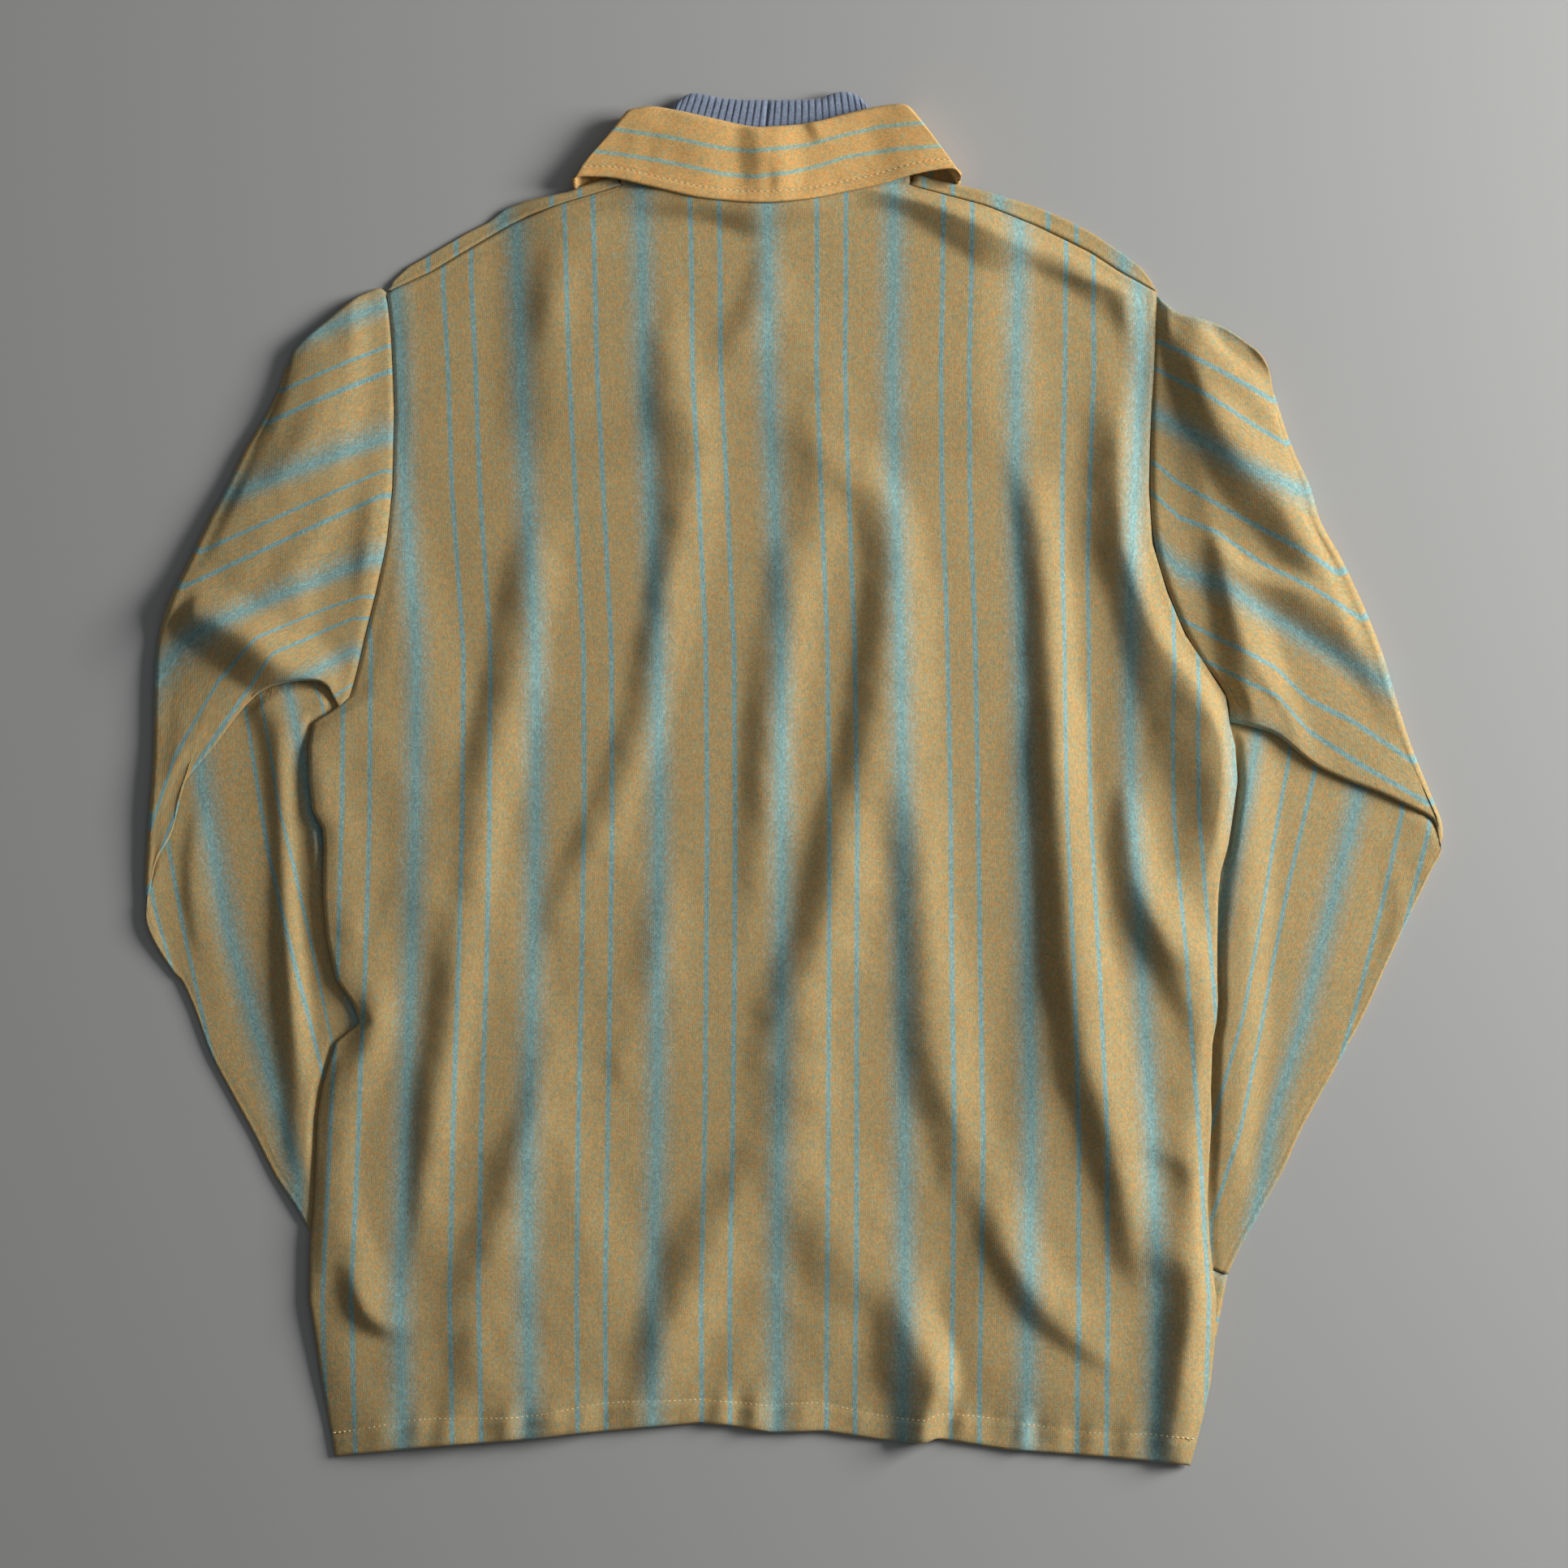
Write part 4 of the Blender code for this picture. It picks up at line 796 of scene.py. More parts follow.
LEFT_FLANKS = {
    "hollow": [(452, 590, 12, 0), (444, 650, 18, 5), (432, 705, 20, 6.5), (424, 765, 18, 6), (428, 805, 12, 0)],
    "by_seam": [(466, 700, 6, 0), (461, 760, 9, 4), (452, 815, 10, 7), (440, 860, 9, 6), (430, 885, 7, 0)],
    "lift": [(402, 640, 18, 0), (392, 700, 24, -5), (398, 780, 24, -6), (412, 830, 16, 0)],
    "cap_fall": [(455, 410, 18, 0), (430, 470, 24, -4), (408, 530, 24, -4), (385, 590, 20, 0)],
    "outer": [(352, 462, 10, 0), (336, 508, 12, 4), (308, 562, 12, 4), (268, 632, 11, 3), (232, 700, 10, 0)],
    "diagonal": [(392, 488, 12, 0), (358, 540, 15, 3.5), (322, 588, 15, 3.5), (282, 622, 12, 0)],
    "diagonal_low": [(412, 590, 12, 0), (392, 640, 14, 2.6), (352, 690, 14, 2.6), (330, 725, 12, 0)],
    "drape": [(192, 752, 12, 6), (228, 780, 22, 16), (268, 806, 32, 22), (312, 838, 32, 23), (352, 856, 24, 15), (408, 866, 12, 5)],
    "drape_crest": [(222, 728, 12, 0), (266, 744, 16, -5), (316, 768, 18, -6), (356, 796, 20, -7), (398, 812, 16, -3), (420, 820, 10, 0)],
    "low_edge": [(292, 868, 8, 0), (262, 902, 9, -3), (232, 938, 9, -4), (208, 985, 9, -3), (196, 1040, 8, 0)],
    "low_left": [(190, 800, 9, 0), (200, 850, 12, 3), (206, 900, 12, 3), (200, 960, 9, 0)],
}
LEFT_LOW_FLANKS = {
    "tall": [(290, 868, 26, 12), (318, 915, 32, 20), (332, 1000, 28, 18), (337, 1100, 24, 15), (340, 1200, 20, 11), (346, 1300, 18, 9),
             (352, 1400, 15, 6), (362, 1470, 10, 0)],
    "tall_fall": [(352, 880, 9, 0), (356, 960, 11, -6), (359, 1060, 11, -7), (366, 1160, 11, -7), (374, 1260, 10, -5), (382, 1350, 9, 0)],
    "beside_body": [(382, 884, 7, 0), (384, 940, 9, 6), (386, 1040, 10, 7), (394, 1130, 9, 6), (400, 1190, 8, 0)],
    "outer": [(236, 940, 9, 0), (228, 1000, 12, 4), (222, 1070, 12, 5), (226, 1130, 11, 4), (240, 1190, 9, 0)],
    "flat_fall": [(282, 940, 16, 0), (276, 1040, 20, -4), (284, 1150, 20, -4), (304, 1280, 16, -3), (330, 1380, 12, 0)],
    "sliver": [(184, 1084, 4, 0), (190, 1128, 5, -2.5), (206, 1172, 5, -2.5), (222, 1204, 4, 0)],
    "cross": [(300, 1230, 12, 0), (306, 1270, 16, 3), (312, 1320, 12, 0)],
}


def outline(points, n):
    return along([(x, y) for x, y in points], n=n)


def coons(hole, far, over, under, t, v, power=1.0):
    """A smooth sheet between four edges: t runs from hole to far, v from over to under.

    A power over 1 keeps the bends of over and under near those edges.
    """
    a, b = sample(hole, v)[None], sample(far, v)[None]
    c, d = sample(over, t)[:, None], sample(under, t)[:, None]
    t, v = t[:, None, None], v[None, :, None]
    return ((1 - t) * a + t * b + (1 - v) ** power * (c - (1 - t) * hole[0] - t * far[0])
            + v ** power * (d - (1 - t) * hole[-1] - t * far[-1]))


def body_polygon():
    left = [(r[1], r[0]) for r in BODY]
    right = [(r[2], r[0]) for r in BODY]
    return left[::-1] + right + [(1467, 1807), (1352, 1796), (1154, 1774), (880, 1756), (657, 1774), (412, 1796)]


def make_sleeve(name, node, s, upper_lines, lower_lines, lower_phases, flanks, low_flanks, material):
    side = s["side"]
    v = columns(540.0, CELL)
    n = len(v)
    fold = outline(s["fold"], 401)
    tangent = np.gradient(fold, axis=0)
    tangent /= np.hypot(*tangent.T)[:, None]
    normal = np.stack([tangent[:, 1], -tangent[:, 0]], 1)
    normal *= np.sign((normal * [side, 0]).sum(1, keepdims=True)) + 0.0
    up = 1.35 * relief(flanks, 80.0, 1.2) + ripple(11 + side, 70, 0.16)
    down = 1.25 * relief(low_flanks, 70.0, 1.15) + ripple(17 + side, 70, 0.14)
    hole = outline([(x + side * 0.5, y) for x, y in s["hole"]], 401)

    def fold_low(share):
        """Underside of the upper half where it turns: lowest at the fold's ends."""
        return SLEEVE_STACK + 0.15 + 1.5 * smooth(share / 0.2) * smooth((1 - share) / 0.3)

    flat = (fold_low(v) + SLEEVE_STACK) / 2
    start = fold - normal * ((fold_low(np.linspace(0, 1, 401)) + SLEEVE_STACK) / 2 / PX)[:, None]
    inward = -sample(normal, v)

    over = outline([tuple(p) for p in s["over"][:-1]] + [tuple(start[0])], 201)
    under = outline([tuple(p) for p in s["under"][:-1]] + [tuple(start[-1])], 201)
    rows_top, rows_low, uv_top, uv_low = [], [], [], []

    def rim(width):
        e = np.minimum(v, 1 - v) * width
        return np.sqrt(np.clip(1 - (1 - np.clip(e / 5.5, 0, 1)) ** 2, 0, 1)), e

    # from the armhole to the elbow
    t = np.linspace(0, 1, 53)
    p = coons(hole, start, over, under, t, v, 3.0)
    x, y = p[..., 0], p[..., 1]
    t_low = station([(0, 0), (0.3, 4.0), (0.68, 4.5), (1, 4.5)], 0, t, 1)[:, None]
    t_low = t_low + (fold_low(v)[None] - t_low) * smooth((t - 0.68) / 0.32)[:, None]
    edge_x = x[0] - side * 0.6
    hole_low = front_low(edge_x, y[0])
    hole_top = back_height(edge_x, y[0], np.zeros_like(edge_x))
    share = smooth(t / 0.28)[:, None]
    low = hole_low[None] * (1 - share) + np.maximum(t_low, 0.3) * share
    crown = s["crown"] * np.sin(np.pi * v)[None] ** 0.8 * np.sin(np.pi * np.clip(t, 0, 1))[:, None]
    folds = soft_floor(read(up, x, y) + 1.0, 0.8)
    meet = smooth(t / 0.10)[:, None]
    flat_top = (hole_top[None] * (1 - share) + (low + SLEEVE_STACK) * share)
    top = flat_top + crown + folds * meet
    # the fold is as thick as the sheets that run into it
    ends = smooth(np.minimum(v, 1 - v) * 540 / 40)
    wide = np.pad(folds[-1] * ends, 3, mode="edge")
    swell = 0.5 * np.clip(np.convolve(wide, np.ones(7) / 7, mode="valid"), 0, 6)
    radius = flat + swell
    last = smooth((t - 0.84) / 0.16)[:, None]
    top = top * (1 - last) + 2 * radius[None] * last
    away = t[:, None] * np.hypot(*(p[-1] - p[0]).T)[None]
    top += 0.25 * np.exp(-((away - 5.5) / 4.0) ** 2) - 0.45 * np.exp(-(away / 2.6) ** 2)
    width = np.hypot(*np.diff(p, axis=1).transpose(2, 0, 1)).sum(1)
    for i in range(len(t)):
        roll, e = rim(width[i])
        middle = (flat_top[i] + low[i]) / 2
        rows_top.append(world(x[i], y[i], middle + (top[i] - middle) * roll))
        rows_low.append(world(x[i], y[i], middle - (middle - low[i]) * roll))
    phase = stripe_phase(SLEEVE_PHASES, upper_lines, x, y, upright=False)
    uv_top += list(np.stack([phase, x * UNIT], -1))
    uv_low += list(np.stack([phase, x * UNIT], -1))
    # over the elbow fold
    roll, e = rim(width[-1])
    line = sample(fold, v)
    for degrees in np.linspace(0, 180, 13)[1:-1]:
        a = math.radians(degrees)
        for rows, r in ((rows_top, radius - 1.35 + 1.35 * roll), (rows_low, radius - 1.35 - 1.35 * roll)):
            out = (r * math.sin(a) - flat - 0.6 * swell * math.sin(a)) / PX
            q = line - inward * out[:, None]
            rows.append(world(q[:, 0], q[:, 1], radius + r * math.cos(a)))
        uv_top.append(np.stack([phase[-1], line[:, 0] * UNIT + degrees * 7e-5], -1))
        uv_low.append(uv_top[-1])
    # back under the body, upside down
    cuff_line = outline([OVER_END[node], UNDER_END[node]], 201)
    over = outline([tuple(start[0])] + list(s["over_low"][1:]), 201)
    under = outline([tuple(start[-1])] + list(s["under_low"][1:]), 201)
    t = np.linspace(0, 1, 152)
    p = coons(start, cuff_line, over, under, t, v, 1.6)
    x, y = p[..., 0], p[..., 1]
    upper_shape = ([tuple(q) for q in outline(s["hole"], 12)] + [tuple(q) for q in outline(s["under"], 20)][1:]
                   + [tuple(q) for q in fold[::-33]] + [tuple(q) for q in outline(s["over"], 8)][::-1][1:])
    free = smooth(polygon_distance(x, y, body_polygon()) / 12) * smooth(polygon_distance(x, y, upper_shape) / 14)
    folds = soft_floor(read(down, x, y) + 0.8, 0.7) * free
    # the cloth bulges a little where it leaves the fold's lower end
    bulge = 2.4 * smooth(1 - t / 0.17)[:, None] * smooth((v - 0.80) / 0.12)[None] * smooth(polygon_distance(x, y, upper_shape) / 4)
    phase_low = stripe_phase(lower_phases, lower_lines, x, y)
    width = np.hypot(*np.diff(p, axis=1).transpose(2, 0, 1)).sum(1)
    for i in range(len(t)):
        roll, e = rim(width[i])
        seam = 0.35 * np.exp(-((e - 8) / 2.2) ** 2)
        level = SLEEVE_STACK + folds[i] + bulge[i] - seam * (v > 0.5)
        rows_top.append(world(x[i], y[i], 1.35 - 1.35 * roll))
        rows_low.append(world(x[i], y[i], 1.35 + (level - 1.35) * roll))
        blend = float(smooth(t[i] / 0.03))
        row = np.stack([phase[-1] * (1 - blend) + phase_low[i] * blend, y[i] * UNIT], -1)
        uv_top.append(row)
        uv_low.append(row)
    top, low = np.stack(rows_top), np.stack(rows_low)
    uv_t, uv_l = np.stack(uv_top), np.stack(uv_low)
    grid = np.concatenate([top, low[:, -2:0:-1]], 1)
    uv = np.concatenate([uv_t, uv_l[:, -2:0:-1]], 1)
    if len(grid) % 2 == 0:
        grid, uv = np.delete(grid, 1, 0), np.delete(uv, 1, 0)
    # the inside of the tube keeps clear of the other face
    n = normals_of(grid, True) * (-1 if s["flip"] else 1)
    deep = grid - n * (0.5 * MM)
    deep[..., 2] = np.maximum(deep[..., 2], 0.05 * MM)
    made = shell(name, grid, uv, material, wrap=True, flip=s["flip"], step=2, deep=deep)
    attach(made, "root")
    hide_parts(node)
    return made


OVER_END = {"sleeve_right": (1297, 1499), "sleeve_left": (664, 1530)}
UNDER_END = {"sleeve_right": (1514, 1571), "sleeve_left": (462, 1637)}


def make_sleeves():
    right = make_sleeve("cloth_sleeve_right", "sleeve_right", RIGHT, STRIPES_RIGHT_UPPER, STRIPES_RIGHT_LOWER, SLEEVE_PHASES[2:],
                        RIGHT_FLANKS, RIGHT_LOW_FLANKS, BODY_CLOTH)
    left = make_sleeve("cloth_sleeve_left", "sleeve_left", LEFT, STRIPES_LEFT_UPPER, STRIPES_LEFT_LOWER, SLEEVE_PHASES[:5],
                       LEFT_FLANKS, LEFT_LOW_FLANKS, BODY_CLOTH)


# ------------------------------------------------------------ the front panel
NECK_LEFT = [(476, 359, 482, 346), (503, 346.5, 503, 327), (530, 334, 528, 313), (568, 311, 572, 287), (600, 292, 602, 272),
             (625, 278, 622, 256), (650, 266, 646, 247), (683, 254, 676, 241), (705, 247, 700, 236), (724, 241.5, 720, 228), (765, 229, 760, 214)]
NECK_RIGHT = [(1121, 229, 1126, 214), (1168, 241.5, 1173, 225), (1190, 247, 1196, 231), (1215, 254, 1222, 237), (1245, 265, 1250, 245),
              (1278, 278, 1284, 256), (1312, 294, 1316, 270), (1345, 311, 1348, 287), (1380, 334, 1385, 312), (1403, 346.5, 1406, 328),
              (1426, 359, 1420, 346)]


def make_front():
    """Strips over the shoulders, the fold along them, then the side on the floor."""
    def strip(rows, n):
        a = np.array(rows, float)
        k = np.linspace(0, len(a) - 1, n)
        return np.stack([np.interp(k, np.arange(len(a)), a[:, c]) for c in range(4)], 1)
    left, right = strip(NECK_LEFT, 51), strip(NECK_RIGHT, 51)
    gap = 51
    middle = np.stack([np.linspace(765, 1121, gap + 2)[1:-1], np.full(gap, 229.0), np.linspace(760, 1126, gap + 2)[1:-1], np.full(gap, 214.0)], 1)
    s = np.vstack([left, middle, right])
    u = (s[:, 0] - 476) / 950.0
    seam_x, seam_y, fold_x, fold_y = s.T
    high = back_height(seam_x, seam_y, np.zeros(len(s))) + 0.1
    low = front_low(fold_x, fold_y + 20)
    rows, uvs = [], []
    for share in np.linspace(0, 1, 7)[:-1]:
        x = seam_x + (fold_x - seam_x) * share
        y0 = seam_y - 0.2
        reach = (high - low) / 2 / PX
        y = y0 + (fold_y + reach * 0.9 - y0) * share
        z = high + 0.5 * math.exp(-((share - 0.2) / 0.2) ** 2) - 0.4 * math.exp(-(share / 0.07) ** 2)
        rows.append(world(x, y, z))
        uvs.append(np.stack([x / REPEAT - 3.2 + 0.15, y * UNIT], -1))
    for degrees in np.linspace(0, 180, 10):
        a = math.radians(degrees)
        radius = (high - low) / 2
        y = fold_y + (radius / PX) * (1 - math.sin(a))
        rows.append(world(fold_x, y, low + radius + radius * math.cos(a)))
        uvs.append(np.stack([fold_x / REPEAT - 3.05, (y - 20 * degrees / 180) * UNIT], -1))
    first = len(rows)
    ys_top = np.linspace(0, 1, 17)[1:]
    for share in ys_top:
        x = 476 + 950 * u
        y = fold_y + 8 + (440 - fold_y - 8) * share
        x[0], x[-1] = station(BODY, 0, y[0], 1), station(BODY, 0, y[-1], 2)
        z = front_low(x, y)
        rows.append(world(x, y, z))
        uvs.append(np.stack([x / REPEAT - 3.05, -y * UNIT], -1))
    notch = first + 12
    ys = np.linspace(440, 1600, 127)[1:]
    p = body_points(u, ys, np.linspace(0, 1, 22)[1:])
    x, y = p[..., 0], p[..., 1]
    edge = np.minimum(x - x[:, :1], x[:, -1:] - x) + 0.001
    roll = np.sqrt(np.clip(1 - (1 - np.clip(edge / 6, 0, 1)) ** 2, 0, 1))
    z = front_low(x, y) + (1.1 * (1 - roll)) * smooth((y - 850) / 60)
    for i in range(len(p)):
        rows.append(world(x[i], y[i], z[i]))
        uvs.append(np.stack([x[i] / REPEAT - 3.05, -y[i] * UNIT], -1))
    grid, uv = np.stack(rows), np.stack(uvs)
    keep = np.ones((len(grid) - 1, grid.shape[1] - 1), bool)
    keep[:notch, 50:51 + gap] = False
    # the plies keep 1.2 mm: the inside is measured up on the floor side, down on the strips
    deep = grid.copy()
    n = normals_of(grid, False)
    n[np.isnan(n)] = 0
    deep = grid - n * (1.1 * MM)
    for i in range(first, len(grid)):
        deep[i] = grid[i] + np.array([0, 0, 1.1 * MM])
    deep[..., 2] = np.maximum(deep[..., 2], 0.1 * MM)
    made = shell("cloth_front", grid, uv, BODY_CLOTH, keep=keep, step=1, deep=deep)
    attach(made, "root")
    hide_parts("front")


# ------------------------------------------------------------------- the cuffs
def make_cuff(name, node, corners):
    """A flat tube: its rows run from the sleeve's end to the cuff's opening."""
    n = 61
    rows, uvs = [], []
    for k, (ax, ay, bx, by) in enumerate(corners):
        t = np.linspace(0, 1, n)
        x, y = ax + (bx - ax) * t, ay + (by - ay) * t
        e = np.minimum(t, 1 - t) * math.hypot(bx - ax, by - ay)
        roll = np.sqrt(np.clip(1 - (1 - np.clip(e / 5, 0, 1)) ** 2, 0, 1))
        thin = 0.25 if k in (0, len(corners) - 1) else 0.0
        up = world(x, y, 1.35 + (1.35 - thin) * roll)
        dn = world(x, y, 1.35 - (1.35 - thin) * roll)
        rows.append(np.vstack([up, dn[-2:0:-1]]))
        line = np.stack([(k / (len(corners) - 1)) * 0.9 + 0.05 + 0 * t, t * 0.1], -1)
        uvs.append(np.vstack([line, line[-2:0:-1]]))
    grid, uv = np.stack(rows), np.stack(uvs)
    made = shell(name, grid, uv, BODY_CLOTH, thick=0.5, wrap=True, step=2, flip=(node == "cuff_right"))
    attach(made, "root")
    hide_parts(node)


def cuff_rows(a, b, c, n=17):
    """Rows between three lines (x0, y0, x1, y1)."""
    a, b, c = np.array(a), np.array(b), np.array(c)
    half = n // 2
    return [tuple(a + (b - a) * k / half) for k in range(half + 1)] + [tuple(b + (c - b) * k / half) for k in range(1, half + 1)]


# ------------------------------------------------------- collar and neck band
COLLAR_TOP = [(773, 137), (790, 134), (807, 133), (834, 138), (870, 146), (905, 154), (930, 159), (955, 158), (979, 156), (1006, 152),
              (1040, 143), (1075, 135), (1106, 131), (1120, 134)]
COLLAR_EDGE = [(706, 229), (711, 221), (730, 220), (757, 222), (796, 231), (853, 245), (891, 250), (930, 253), (964, 252), (1006, 247),
               (1044, 239), (1083, 231), (1121, 220), (1159, 213), (1176, 214), (1184, 222)]
COLLAR_LEFT = [(773, 137), (750, 167), (719, 205), (706, 229)]
COLLAR_RIGHT = [(1120, 134), (1140, 159), (1175, 206), (1184, 222)]
COLLAR_FLANKS = {
    "middle": [(914, 146, 8, 0), (920, 172, 14, 5.0), (924, 205, 14, 5.2), (927, 238, 11, 2.6), (928, 252, 8, 0)],
    "middle_fall": [(966, 150, 9, 0), (972, 178, 15, -3.6), (976, 212, 15, -3.8), (974, 242, 11, -2.0), (972, 256, 8, 0)],
    "crease": [(948, 205, 5, 0), (953, 225, 6, 1.4), (950, 246, 5, 0)],
    "dent": [(990, 146, 5, 2.0), (997, 160, 7, 3.0), (1008, 180, 5, 0)],
    "left_soft": [(800, 150, 10, 0), (790, 180, 14, -1.0), (780, 215, 10, 0)],
    "right_soft": [(1080, 145, 10, 0), (1090, 180, 14, 1.0), (1100, 212, 10, 0)],
}
COLLAR_PHASES = (0.392, 0.62)
STRIPES_COLLAR = [
    [(700, 152), (755, 161), (830, 173), (880, 184), (926, 190), (960, 187), (995, 182), (1040, 170), (1083, 160), (1140, 156), (1200, 155)],
    [(690, 184), (750, 190), (800, 198), (845, 207), (890, 217), (930, 221), (968, 217), (1010, 207), (1044, 196), (1100, 188), (1159, 184), (1200, 183)],
]


def collar_under(x, y):
    """Height of what the collar's fall lies on."""
    panel = back_height(x, np.maximum(y, 232), np.full(np.shape(x), 60.0))
    return np.maximum(panel, 8.3)


def make_collar():
    across, down = 231, 61
    u, v = np.linspace(0, 1, across), np.linspace(0, 1, down)
    top, edge = outline(COLLAR_TOP, 401), outline(COLLAR_EDGE, 401)
    left, right = outline(COLLAR_LEFT, 101), outline(COLLAR_RIGHT, 101)
    p = coons(left, right, top, edge, u, v)          # rows run across the collar, columns down it
    x, y = p[..., 0], p[..., 1]
    field = relief(COLLAR_FLANKS, 60.0) + ripple(31, 50, 0.07)
    u2, v2 = u[:, None], v[None, :]
    e_side = np.minimum(u, 1 - u)[:, None] * 400
    thick = 2.0
    z = collar_under(x, y) + 0.5 + thick + read(field, x, y) * smooth(e_side / 30)
    z = z + 1.4 * np.exp(-((v2 - 0.25) / 0.3) ** 2)
    height = 98.0
    e_top, e_low = v2 * height, (1 - v2) * height
    roll_top = np.sqrt(np.clip(1 - (1 - np.clip(e_top / 7, 0, 1)) ** 2, 0, 1))
    roll_low = np.sqrt(np.clip(1 - (1 - np.clip(e_low / 2.6, 0, 1)) ** 2, 0, 1))
    z = z - 2.6 * (1 - roll_top) - 1.0 * (1 - roll_low)
    z = z + 0.9 * smooth((26 - e_low) / 26)
    z -= 0.42 * np.exp(-((e_low - 13) / 1.8) ** 2)              # the row of stitches
    z += 0.25 * smooth((15 - e_low) / 4)
    sides = np.clip(e_side / 9, 0, 1)
    z = z - 3.4 * (1 - np.sqrt(1 - (1 - sides) ** 2))
    under = np.minimum(z - thick, collar_under(x, y) + 0.45 + 0 * z)
    phase = stripe_phase(COLLAR_PHASES, STRIPES_COLLAR, x, y, upright=False)
    grid = world(x, y, z)
    # round the sides and on to the leaves that lie on the floor in front
    def leaf(line, roll_line, edge_line, side):
        rows = []
        z0 = z[0] if side < 0 else z[-1]
        x0, y0 = (x[0], y[0]) if side < 0 else (x[-1], y[-1])
        for degrees in (40, 70, 100, 130, 160):
            a = math.radians(degrees)
            r = z0 / 2
            rows.append(world(x0 - side * (1 - math.sin(a)) * r / PX * 0.75, y0 + (degrees / 160) * 6, r + r * math.cos(a)))
        roll_curve, edge_curve = outline(roll_line, 31), outline(edge_line, 31)
        for k in range(31):
            q = roll_curve[k] + (edge_curve[k] - roll_curve[k]) * v[:, None]
            rows.append(world(q[:, 0], q[:, 1], np.full(down, 0.05)))
        return rows
    left_rows = leaf(left, [(785, 165), (793, 190), (815, 250), (860, 310), (930, 338)], [(712, 245), (716, 262), (735, 325), (790, 395), (845, 450)], -1)
    right_rows = leaf(right, [(1108, 165), (1105, 190), (1075, 250), (1028, 310), (960, 338)], [(1176, 240), (1170, 262), (1152, 325), (1097, 395), (1043, 450)], 1)
    full = np.concatenate([np.stack(left_rows[::-1]), grid, np.stack(right_rows)])
    k = len(left_rows)
    pad_l, pad_r = np.repeat(phase[:1], k, 0), np.repeat(phase[-1:], k, 0)
    run = np.arange(len(full))[:, None] * 1.1e-3 + 0 * full[..., 0]
    uv = np.stack([np.concatenate([pad_l, phase, pad_r]), run], -1)
    n = normals_of(full, False)
    deep = full - n * (thick * 0.9 * MM) * np.sign(n[k + across // 2, down // 2, 2])
    if len(full) % 2 == 0:
        full, uv, deep = full[1:], uv[1:], deep[1:]
    deep[..., 2] = np.maximum(deep[..., 2], 0.05 * MM)
    for i in list(range(0, k - 5)) + list(range(len(full) - k + 5, len(full))):
        deep[i] = full[i] + np.array([0, 0, thick * 0.9 * MM])
    cloth = cloth_material("collar_cloth", repeat=139 * UNIT, tint=(1.62, 1.36, 1.12), pin=True)
    made = shell("cloth_collar", full, uv, cloth, step=2, deep=deep, flip=bool(n[k + across // 2, down // 2, 2] < 0))
    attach(made, "root")
    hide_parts("collar")
    row = int(round((1 - 13 / height) * (down - 1)))
    return [(x[i, row], y[i, row], z[i, row]) for i in range(4, across - 4, 3)]


RIB_TOP = [(824, 133), (838, 122), (853, 115), (872, 117), (891, 121), (920, 123), (949, 123), (985, 123), (1010, 121), (1026, 115),
           (1040, 113), (1056, 117), (1066, 126), (1075, 138)]
RIB_SEAM = [(772, 228), (800, 229), (850, 229), (897, 229), (943, 229), (990, 229), (1038, 229), (1086, 229), (1114, 228)]


def rib_material():
    g = Graph("rib_knit")
    uv = g.node("ShaderNodeUVMap", _props={"uv_map": "cloth"})
    stitch = g.tree.nodes.new("ShaderNodeTexVoronoi")
    stitch.inputs["Scale"].default_value = 1300.0
    g.tree.links.new(uv, stitch.inputs["Vector"])
    parts = g.tree.nodes.new("ShaderNodeSeparateColor")
    g.tree.links.new(stitch.outputs["Color"], parts.inputs[0])
    patch = g.node("ShaderNodeTexNoise", Vector=uv, Scale=240.0, Detail=3.0)
    broad = g.node("ShaderNodeTexNoise", Vector=uv, Scale=30.0, Detail=2.0)
    colour = g.mix(parts.outputs[0], linear(116, 128, 152), linear(142, 153, 174))
    colour = g.mix(g.math("MULTIPLY", parts.outputs[1], 0.35), colour, linear(102, 118, 134))
    # painted shade: the colour darkens to 0.30 in the valleys between the ribs, where the ribs shade them
    depth = g.node("ShaderNodeSeparateXYZ", Vector=uv)
    ribs = g.math("PINGPONG", g.math("DIVIDE", depth, RIB_PITCH * UNIT), 0.5)
    valley_shade = g.ramp(g.math("MULTIPLY", ribs, 2.0), [(0.0, 0.30), (0.22, 0.62), (0.5, 0.98), (1.0, 1.04)])
    level = g.math("ADD", g.math("MULTIPLY", patch, 0.3), 0.86)
    level = g.math("MULTIPLY", level, g.math("ADD", g.math("MULTIPLY", broad, 0.16), 0.92))
    # the painted shade of the rib valleys darkens the knit's colour here
    level = g.math("MULTIPLY", level, valley_shade)
    grey = g.node("ShaderNodeCombineColor", i0=level, i1=level, i2=level)
    g.tree.links.new(g.mix(1.0, colour, grey, "MULTIPLY"), g.shader.inputs["Base Color"])
    loops = g.node("ShaderNodeTexWave", _out=1, _props={"bands_direction": "Y"}, Vector=uv, Scale=330.0, Distortion=2.5, Detail=2.0)
    bump = g.node("ShaderNodeBump", Height=g.math("ADD", g.math("MULTIPLY", loops, 0.3), g.math("MULTIPLY", patch, 1.2)), Strength=0.4, Distance=0.0004)
    g.tree.links.new(bump, g.shader.inputs["Normal"])
    g.tree.links.new(g.math("ADD", g.math("MULTIPLY", parts.outputs[2], 0.1), 0.82), g.shader.inputs["Roughness"])
    g.shader.inputs["Specular IOR Level"].default_value = 0.2
    g.shader.inputs["Sheen Weight"].default_value = 0.25
    g.shader.inputs["Sheen Roughness"].default_value = 0.5
    return g.material


RIB_PITCH = 8.1                 # one rib and its valley, in drawing units


